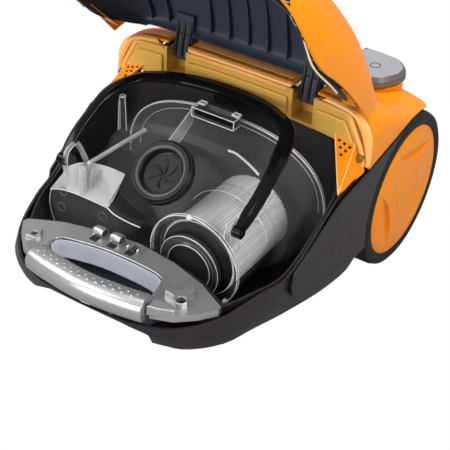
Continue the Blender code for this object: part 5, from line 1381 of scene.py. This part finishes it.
# bright lines along both sides of the arch: painted highlights
piece('bracket_arch_edge', *bar([(p[0] - 2.4, p[1], p[2] + 0.4) for p in arch], 0.45, 8), CLEAR_EDGE_PAINTED_HIGHLIGHT, 'bin', 0)
piece('bracket_arch_edge2', *bar([(p[0] + 2.4, p[1], p[2] + 0.4) for p in arch], 0.45, 8), CLEAR_EDGE_PAINTED_HIGHLIGHT, 'bin', 0)
pl = [(-86, -108, 137), (-86, -111.5, 137), (-86, -114.2, 134), (-86, -116.0, 128)]
v, f = rings_solid([[(-78.5 + r_ * math.cos(2 * math.pi * k / 6), -115.6 + r_ * math.sin(2 * math.pi * k / 6), z_) for k in range(6)] for z_, r_ in ((119.0, 4.2), (124.0, 4.4), (147.6, 3.4))])
piece('bracket_pillar', v, f, MILK, 'bin', 0)
# bright lines down the pillar's edges: painted highlights
parts_ = [sweep([(-78.5 + 4.2 * math.cos(2 * math.pi * k / 6), -115.6 + 4.2 * math.sin(2 * math.pi * k / 6), 119.0), (-78.5 + 3.9 * math.cos(2 * math.pi * k / 6), -115.6 + 3.9 * math.sin(2 * math.pi * k / 6), 134.0), (-78.5 + 3.4 * math.cos(2 * math.pi * k / 6), -115.6 + 3.4 * math.sin(2 * math.pi * k / 6), 147.6)], 0.35, 6) for k in (3, 4, 5)]
v, f = merged(parts_)
piece('bracket_pillar_edges', v, f, CLEAR_EDGE_PAINTED_HIGHLIGHT, 'bin', 0)
v, f = prism([(-113, 122), (-113, 137), (-109, 146), (-96, 139), (-104, 130)], 'x', -72.2, -71.2)
piece('bracket_pillar_fin', v, f, MILK, 'bin', 0)
# curved rib over the rear end of the filter chamber, its brightness a painted highlight
piece('chamber_arc', *bar(spline([(37, -40, 173.6), (45, -40, 173.6), (52, -40, 171.2), (62, -40, 166.5), (72, -40, 160.0)], 5), 1.3, 12), pmat('m_milk_arc_painted_highlight', (0.74, 0.75, 0.76), None, 0.2, alpha=0.8), 'bin', 0)
# right pivot bracket: triangular fin and small clear block
v, f = prism([(-100, 126.0), (-100, 148), (-106, 156), (-112, 150), (-112, 124.0)], 'x', 88.9, 90.3)
piece('bracket_fin', v, f, MILK, 'bin', 0.0003)
# bright lines along the bracket's edges: painted highlights
parts_ = [sweep([(90.3, -125.4, 143), (90.3, -125.4, 149), (90.3, -121.4, 158.2)], 0.45, 8), sweep([(89.6, -110.6, 152), (89.6, -107, 140), (89.6, -103.6, 123)], 0.35, 8)]
v, f = merged(parts_)
piece('bracket_edges_right', v, f, CLEAR_EDGE_PAINTED_HIGHLIGHT, 'bin', 0)
# round knob on top of the flange, bead ball below it, both in the painted-highlight edge colour
for nm, c_, r_ in (('top', (FILTER_X - 5.8, -118.6, FILTER_Z + 47.4), 3.3), ('low', (FILTER_X + 37.0, -118.6, FILTER_Z - 29.5), 3.0)):
    v, f = revolve([(r_ * math.sin(math.radians(a)), max(0.0, r_ * math.cos(math.radians(a)))) for a in range(-90, 91, 15)], 'y', c_, 12)
    piece('flange_knob_' + nm, v, f, CLEAR_EDGE_PAINTED_HIGHLIGHT, 'bin', 0)
# guide post: second rib beside it and a bright cap ring, the ring a painted highlight
v, f = rings_solid([[(-93.6, -42, 150), (-92.2, -42, 150), (-92.2, -38, 150), (-93.6, -38, 150)], [(-93.0, -41.4, 183), (-91.6, -41.4, 183), (-91.6, -38.6, 183), (-93.0, -38.6, 183)]])
piece('post_rib', v, f, MILK, 'bin', 0.0003)
v, f = revolve([(189.6, 1.7), (190.3, 2.4), (189.9, 3.2), (189.0, 3.3)], 'z', (-88, -40, 0), 12)
piece('post_cap', v, f, CLEAR_EDGE_PAINTED_HIGHLIGHT, 'bin', 0)
# bright lines down the post: painted highlights
parts_ = []
for sx_ in (-1, 1):
    parts_.append(sweep([(-88 + sx_ * 5.2, -41.5, 153), (-88 + sx_ * 4.2, -41.3, 172), (-88 + sx_ * 3.1, -41.0, 189.5)], 0.4, 8))
v, f = merged(parts_)
piece('post_edges', v, f, CLEAR_EDGE_PAINTED_HIGHLIGHT, 'bin', 0)
# small eyelet clip on the back of the filter chamber, its eye in the painted-highlight edge colour
v, f = tube('y', (98, 0, 163), 1.5, 3.2, -64.0, -61.0, 12)
piece('clip_eye', v, f, CLEAR_EDGE_PAINTED_HIGHLIGHT, 'bin', 0.0002)
v, f = prism([(-66, 150), (-66, 163), (-59, 163), (-56, 150)], 'x', 96.5, 98.0)
piece('clip_fin', v, f, MILK, 'bin', 0.0002)
marks = []
for mx_, mz_ in ((-101, 114), (-104, 94), (-52, 104), (-60, 78), (28, 78)):
    v, f = tube('y', (mx_, 0, mz_), 4.6, 5.0, BIN_FRONT - 0.4, BIN_FRONT + 0.2, 12)
    marks.append((v, f))
v, f = merged(marks)
piece('bin_mould_marks', v, f, BEADGREY, 'bin', 0)
# the latch group is laid out at the top edge of the body and then set back and up onto it
n_before = len(EXTRA)
# latch housing: clear box with two corner lugs, scooped rear wall and a ribbed black thumb pad behind it
LB = [(-20.5, -28.0), (28.5, -28.0), (28.5, -12.0), (-20.5, -12.0)]
v, f = box(-20, 28, -27.6, -12.4, 180.2, 189.6)
ob = make('c', v, f, CLEAR)
v, f = box(-18.6, 26.6, -29.5, -13.6, 181.8, 188.2)
ob = cut(ob, make('c', v, f, CLEAR))
v, f = cyl('z', (3.5, -4.0, 0), 14.5, 178, 195, 16)
ob = cut(ob, make('c', v, f, CLEAR))
ob.name = 'latch_box'
EXTRA.append((ob, 'bin', 0.0003, 34, 2))
v, f = box(-18.2, 26.2, -25.6, -17.6, 182.2, 187.6)
piece('latch_bolt', v, f, GLOSSBLACK, 'bin', 0.0006)
# bright lines along the latch box edges: painted highlights
parts_ = []
for z_ in (180.2, 189.6):
    parts_.append(sweep([(-20.2, -27.8, z_), (4.0, -27.8, z_), (28.2, -27.8, z_)], 0.5, 8))
for x_ in (-20.2, 28.2):
    parts_.append(sweep([(x_, -27.8, 180.2), (x_, -27.8, 185.0), (x_, -27.8, 189.6)], 0.5, 8))
    parts_.append(sweep([(x_, -27.8, 189.6), (x_, -22.0, 189.6), (x_, -17.0, 189.6)], 0.5, 8))
    parts_.append(sweep([(x_, -27.8, 180.2), (x_, -22.0, 180.2), (x_, -17.0, 180.2)], 0.4, 8))
v, f = merged(parts_)
piece('latch_box_edges', v, f, CLEAR_EDGE_PAINTED_HIGHLIGHT, 'bin', 0)
# corner lugs in the painted-highlight edge colour
for k, x_ in enumerate((-15.5, 23.5)):
    v, f = box(x_ - 4.0, x_ + 4.0, -18.6, -12.0, 189.0, 191.4)
    ob = make('c', v, f, CLEAR_EDGE_PAINTED_HIGHLIGHT)
    v, f = box(x_ - 2.2, x_ + 2.2, -17.2, -13.6, 187.0, 195.0)
    ob = cut(ob, make('c', v, f, CLEAR_EDGE_PAINTED_HIGHLIGHT))
    ob.name = 'latch_lug_%d' % k
    EXTRA.append((ob, 'bin', 0.0005, 34, 2))
    # dark plate at the floor of each lug's hole: painted shade
    v, f = box(x_ - 2.4, x_ + 2.4, -17.4, -13.4, 189.0, 189.9)
    piece('latch_lug_dark_%d' % k, v, f, RUBBER, 'bin', 0)
parts_ = []
for k in range(6):
    y_ = -9.0 + 1.75 * k
    z_ = 189.6 + 3.6 * math.sin(math.pi * min(1.0, (k + 1) / 8.0))
    hw = 10.5 + 1.6 * k if k < 3 else 15.0
    parts_.append(prism([(y_, z_), (y_ + 0.8, z_ + 0.2), (y_ + 0.8, z_ + 1.3), (y_ + 0.1, z_ + 1.2)], 'x', 3.5 - hw, 3.5 + hw))
v, f = merged(parts_)
piece('latch_ribs', v, f, GLOSSBLACK, 'bin_button', 0.0001)
for ob, *_ in EXTRA[n_before:]:
    for q in ob.data.vertices:
        q.co += Vector((0.002, 0.0055, 0.0040))

# pedals: dark foot band, pale crowned top with a plain standby ring
for nm, sx, body_ in (('power', 1, 'power_pedal_body'), ('rewind', -1, 'rewind_pedal_body')):
    P = [(sx * x, y) for x, y in PED]
    if sx < 0:
        P = list(reversed(P))
    fine = spline([(p[0], p[1]) for p in P] + [P[0]], 5)[:-1]
    v, f = rings_solid([shrink(fine, -0.2, PED_Z + 0.2), shrink(fine, -0.9, PED_Z + 0.8), shrink(fine, -0.9, PED_Z + 3.4), shrink(fine, -0.3, PED_Z + 4.0), shrink(fine, -0.3, PED_Z + 6.7), shrink(fine, 2.5, PED_Z + 10.7), shrink(fine, 3.2, PED_Z + 10.9)])
    piece('pedal_band_' + nm, v, f, pmat('m_pedal_dark_' + nm, (0.115, 0.105, 0.105), (0.10, 0.092, 0.092), 0.34, 0.40, bump=0.06), body_, 0.0003)
    zt = PED_Z + 11.5
    rg = [[(sx * 77 + r_ * math.cos(2 * math.pi * k / 48), 181 + r_ * math.sin(2 * math.pi * k / 48), zt + z_) for k in range(48)] for r_, z_ in ((5.0, 0.0), (5.0, 0.25), (5.7, 0.25), (5.7, 0.0))]
    v, f = loop_solid(rg)
    piece('pedal_ring_' + nm, v, f, BLACK, body_, 0)

# tyre: moulded shoulder grooves
for side, sx in (('right', 1), ('left', -1)):
    parts_ = []
    for a_, r_ in ((150.9, 76.5), (149.4, 82.6)):
        ring_ = [(sx * a_, WHEEL_Y + r_ * math.cos(2 * math.pi * k / 160), WHEEL_Z + r_ * math.sin(2 * math.pi * k / 160)) for k in range(160)]
        rg = []
        for da, dr in ((0.5, 0), (0, 0.5), (-0.5, 0), (0, -0.5)):
            rg.append([(sx * (a_ + da), WHEEL_Y + (r_ + dr) * math.cos(2 * math.pi * k / 160), WHEEL_Z + (r_ + dr) * math.sin(2 * math.pi * k / 160)) for k in range(160)])
        parts_.append(loop_solid(rg))
    v, f = merged(parts_)
    piece('tyre_beads_' + side, v, f, RUBBER, 'wheel_' + side, 0)

# hull front: the middle is arched up between the two corners
rings = []
for x_, off in ((-84, -16), (-72, -9), (-58, -3), (-42, 0), (0, 0.8), (40, 0.8), (64, 0), (67.5, -0.5)):
    rings.append([(x_, y, z + off) for y, z in ((-250, 112.0), (-200, 70.6), (-176, 50.7), (-150, 29.2), (-150, 5.0), (-250, 5.0))])
v, f = rings_solid(rings)
BUILT['lower_chassis'] = cut(BUILT['lower_chassis'], make('c', v, f, BLACK))

# side cheeks under the gussets, hinge pockets
for nm, sx in (('right', 1), ('left', -1)):
    q = [(134.6, 29.6, 182.8), (144.4, 29.8, 171.0), (147.2, 29.8, 157.0), (143.6, -13.6, 152.6)]
    q2 = [(x - 1.2, y + 0.2, z - 1.0) for x, y, z in q]
    v, f = rings_solid([[(sx * x, y, z) for x, y, z in q2], [(sx * x, y, z) for x, y, z in q]])
    piece('cover_cheek_' + nm, v, f, YELLOW, 'chassis', edge=0)

for nm in ('hinge_pin_right', 'hinge_pin_left'):
    BUILT[nm].data.materials[0] = GLOSSBLACK

# ------------------------------------------------------------------ what stands for what
node_body = {n: b for b, ns in frame['record']['behaviour']['bodies'].items() for n in ns}


def polish(ob, w=0.0005, seg=2, ang=34):
    me = ob.data
    for p in me.polygons:
        p.use_smooth = True
    me.set_sharp_from_angle(angle=math.radians(ang))
    if w > 0:
        m = ob.modifiers.new('edge', 'BEVEL')
        m.width = w
        m.segments = seg
        m.limit_method = 'ANGLE'
        m.angle_limit = math.radians(38)
        m.use_clamp_overlap = True
        m.harden_normals = True


EDGE = {'lower_chassis': 0.0009, 'bin_tub': 0.0006, 'front_panel': 0.0010, 'bulkhead': 0.0007, 'power_pedal': 0.0007, 'rewind_pedal': 0.0007,
        'lid_seal': 0, 'pleated_filter': 0, 'bin_body': 0, 'bail_handle': 0, 'carry_handle_grip': 0.0012}
plain = BUILT.pop('carry_handle_grip')
bpy.data.objects.remove(plain)
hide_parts('carry_handle_grip')
for nm, ob in list(COVERS.items()) + [('pleated_filter', PLEATS), ('filter_outlet_ring', OUTLET)]:
    bpy.data.objects.remove(BUILT.pop(nm))
    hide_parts(nm)
for name, ob in sorted(BUILT.items()):
    polish(ob, EDGE.get(name, 0.0005))
    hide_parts(name)
    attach(ob, node_body[name])

for ob, body, edge, ang, seg in EXTRA:
    polish(ob, edge, seg, ang)
    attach(ob, body)

KEEP = {'motor_inlet_grille': BLACK, 'motor_seal': RUBBER, 'motor_housing': BLACK, 'motor': COPPER, 'motor_shaft': STEEL, 'impeller': GREY, 'cord_reel': BLACK,
        'reel_axle': STEEL, 'cord_outlet': BLACK, 'power_switch': WHITE, 'control_board': GREEN, 'exhaust_filter': FILTERM, 'exhaust_grille': GREY,
        'power_pedal_spring': STEEL, 'rewind_pedal_spring': STEEL}
for name, m in KEEP.items():
    ob = frame['nodes'][name]
    ob.data.materials.clear()
    ob.data.materials.append(m)

# ------------------------------------------------------------------ floor, light, camera
me = bpy.data.meshes.new('floor')
me.from_pydata([(-6, -6, 0), (6, -6, 0), (6, 6, 0), (-6, 6, 0)], [], [(0, 1, 2, 3)])
floor = bpy.data.objects.new('floor', me)
bpy.context.collection.objects.link(floor)
fm = bpy.data.materials.new('m_floor')
fm.use_nodes = True
fb = fm.node_tree.nodes['Principled BSDF']
fb.inputs['Base Color'].default_value = (0.9, 0.9, 0.9, 1)
fb.inputs['Roughness'].default_value = 0.9
fb.inputs['Base Color'].default_value = (0.30, 0.30, 0.30, 1)
fb.inputs['Specular IOR Level'].default_value = 0.0
# a white sweep to look at, a dim one to bounce light
fe = fm.node_tree.nodes.new('ShaderNodeEmission')
fe.inputs['Strength'].default_value = 1.0
flp = fm.node_tree.nodes.new('ShaderNodeLightPath')
fmx = fm.node_tree.nodes.new('ShaderNodeMixShader')
fm.node_tree.links.new(flp.outputs['Is Camera Ray'], fmx.inputs['Fac'])
fm.node_tree.links.new(fb.outputs['BSDF'], fmx.inputs[1])
fm.node_tree.links.new(fe.outputs['Emission'], fmx.inputs[2])
fm.node_tree.links.new(fmx.outputs['Shader'], fm.node_tree.nodes['Material Output'].inputs['Surface'])
me.materials.append(fm)

w = bpy.data.worlds.new('studio')
bpy.context.scene.world = w
bpy.context.scene.view_settings.view_transform = 'Standard'
w.use_nodes = True
wt = w.node_tree
bg = wt.nodes['Background']
bg.inputs['Color'].default_value = (1, 1, 1, 1)
bg.inputs['Strength'].default_value = 1.0
# camera sees plain white; the model is lit by a softer studio, brighter overhead
tcw = wt.nodes.new('ShaderNodeTexCoord')
sep = wt.nodes.new('ShaderNodeSeparateXYZ')
wt.links.new(tcw.outputs['Generated'], sep.inputs['Vector'])
rmp = wt.nodes.new('ShaderNodeValToRGB')
rmp.color_ramp.elements[0].position = 0.0
rmp.color_ramp.elements[0].color = (0.42, 0.42, 0.42, 1)
rmp.color_ramp.elements[1].position = 1.0
rmp.color_ramp.elements[1].color = (0.95, 0.95, 0.95, 1)
e = rmp.color_ramp.elements.new(0.35)
e.color = (0.22, 0.22, 0.225, 1)
wt.links.new(sep.outputs['Z'], rmp.inputs['Fac'])
bg2 = wt.nodes.new('ShaderNodeBackground')
bg2.inputs['Strength'].default_value = 0.95
wt.links.new(rmp.outputs['Color'], bg2.inputs['Color'])
lp = wt.nodes.new('ShaderNodeLightPath')
mixw = wt.nodes.new('ShaderNodeMixShader')
wt.links.new(lp.outputs['Is Camera Ray'], mixw.inputs['Fac'])
wt.links.new(bg2.outputs['Background'], mixw.inputs[1])
wt.links.new(bg.outputs['Background'], mixw.inputs[2])
wt.links.new(mixw.outputs['Shader'], wt.nodes['World Output'].inputs['Surface'])


def area(name, loc, target, size, power, size_y=None):
    ld = bpy.data.lights.new(name, 'AREA')
    ld.energy = power
    ld.size = size
    if size_y:
        ld.shape = 'RECTANGLE'
        ld.size_y = size_y
    o = bpy.data.objects.new(name, ld)
    bpy.context.collection.objects.link(o)
    o.location = loc
    o.rotation_euler = (Vector(target) - Vector(loc)).to_track_quat('-Z', 'Y').to_euler()
    return o


area('key', (-1.0, -0.7, 1.3), (0, -0.05, 0.1), 0.8, 14)
area('front', (-0.2, -1.5, 0.55), (0, -0.05, 0.12), 0.9, 15)
area('fill', (1.5, -0.2, 0.9), (0, 0.05, 0.12), 0.7, 15)
area('top', (0.1, 0.45, 1.7), (0, 0, 0.1), 0.8, 15)

A, E, RO = math.radians(31.607), math.radians(35.201), math.radians(3.220)
right = Vector((math.cos(A), math.sin(A), 0))
back = Vector((math.sin(A) * math.cos(E), -math.cos(A) * math.cos(E), math.sin(E)))
up = back.cross(right)
r2 = right * math.cos(RO) + up * math.sin(RO)
u2 = -right * math.sin(RO) + up * math.cos(RO)
cd = bpy.data.cameras.new('camera')
cd.lens = 90.29
cd.sensor_width = 36
cd.dof.use_dof = False
cam = bpy.data.objects.new('camera', cd)
bpy.context.collection.objects.link(cam)
cam.matrix_world = Matrix(((r2.x, u2.x, back.x, 0.5145), (r2.y, u2.y, back.y, -0.8146), (r2.z, u2.z, back.z, 0.7296), (0, 0, 0, 1)))
bpy.context.scene.camera = cam
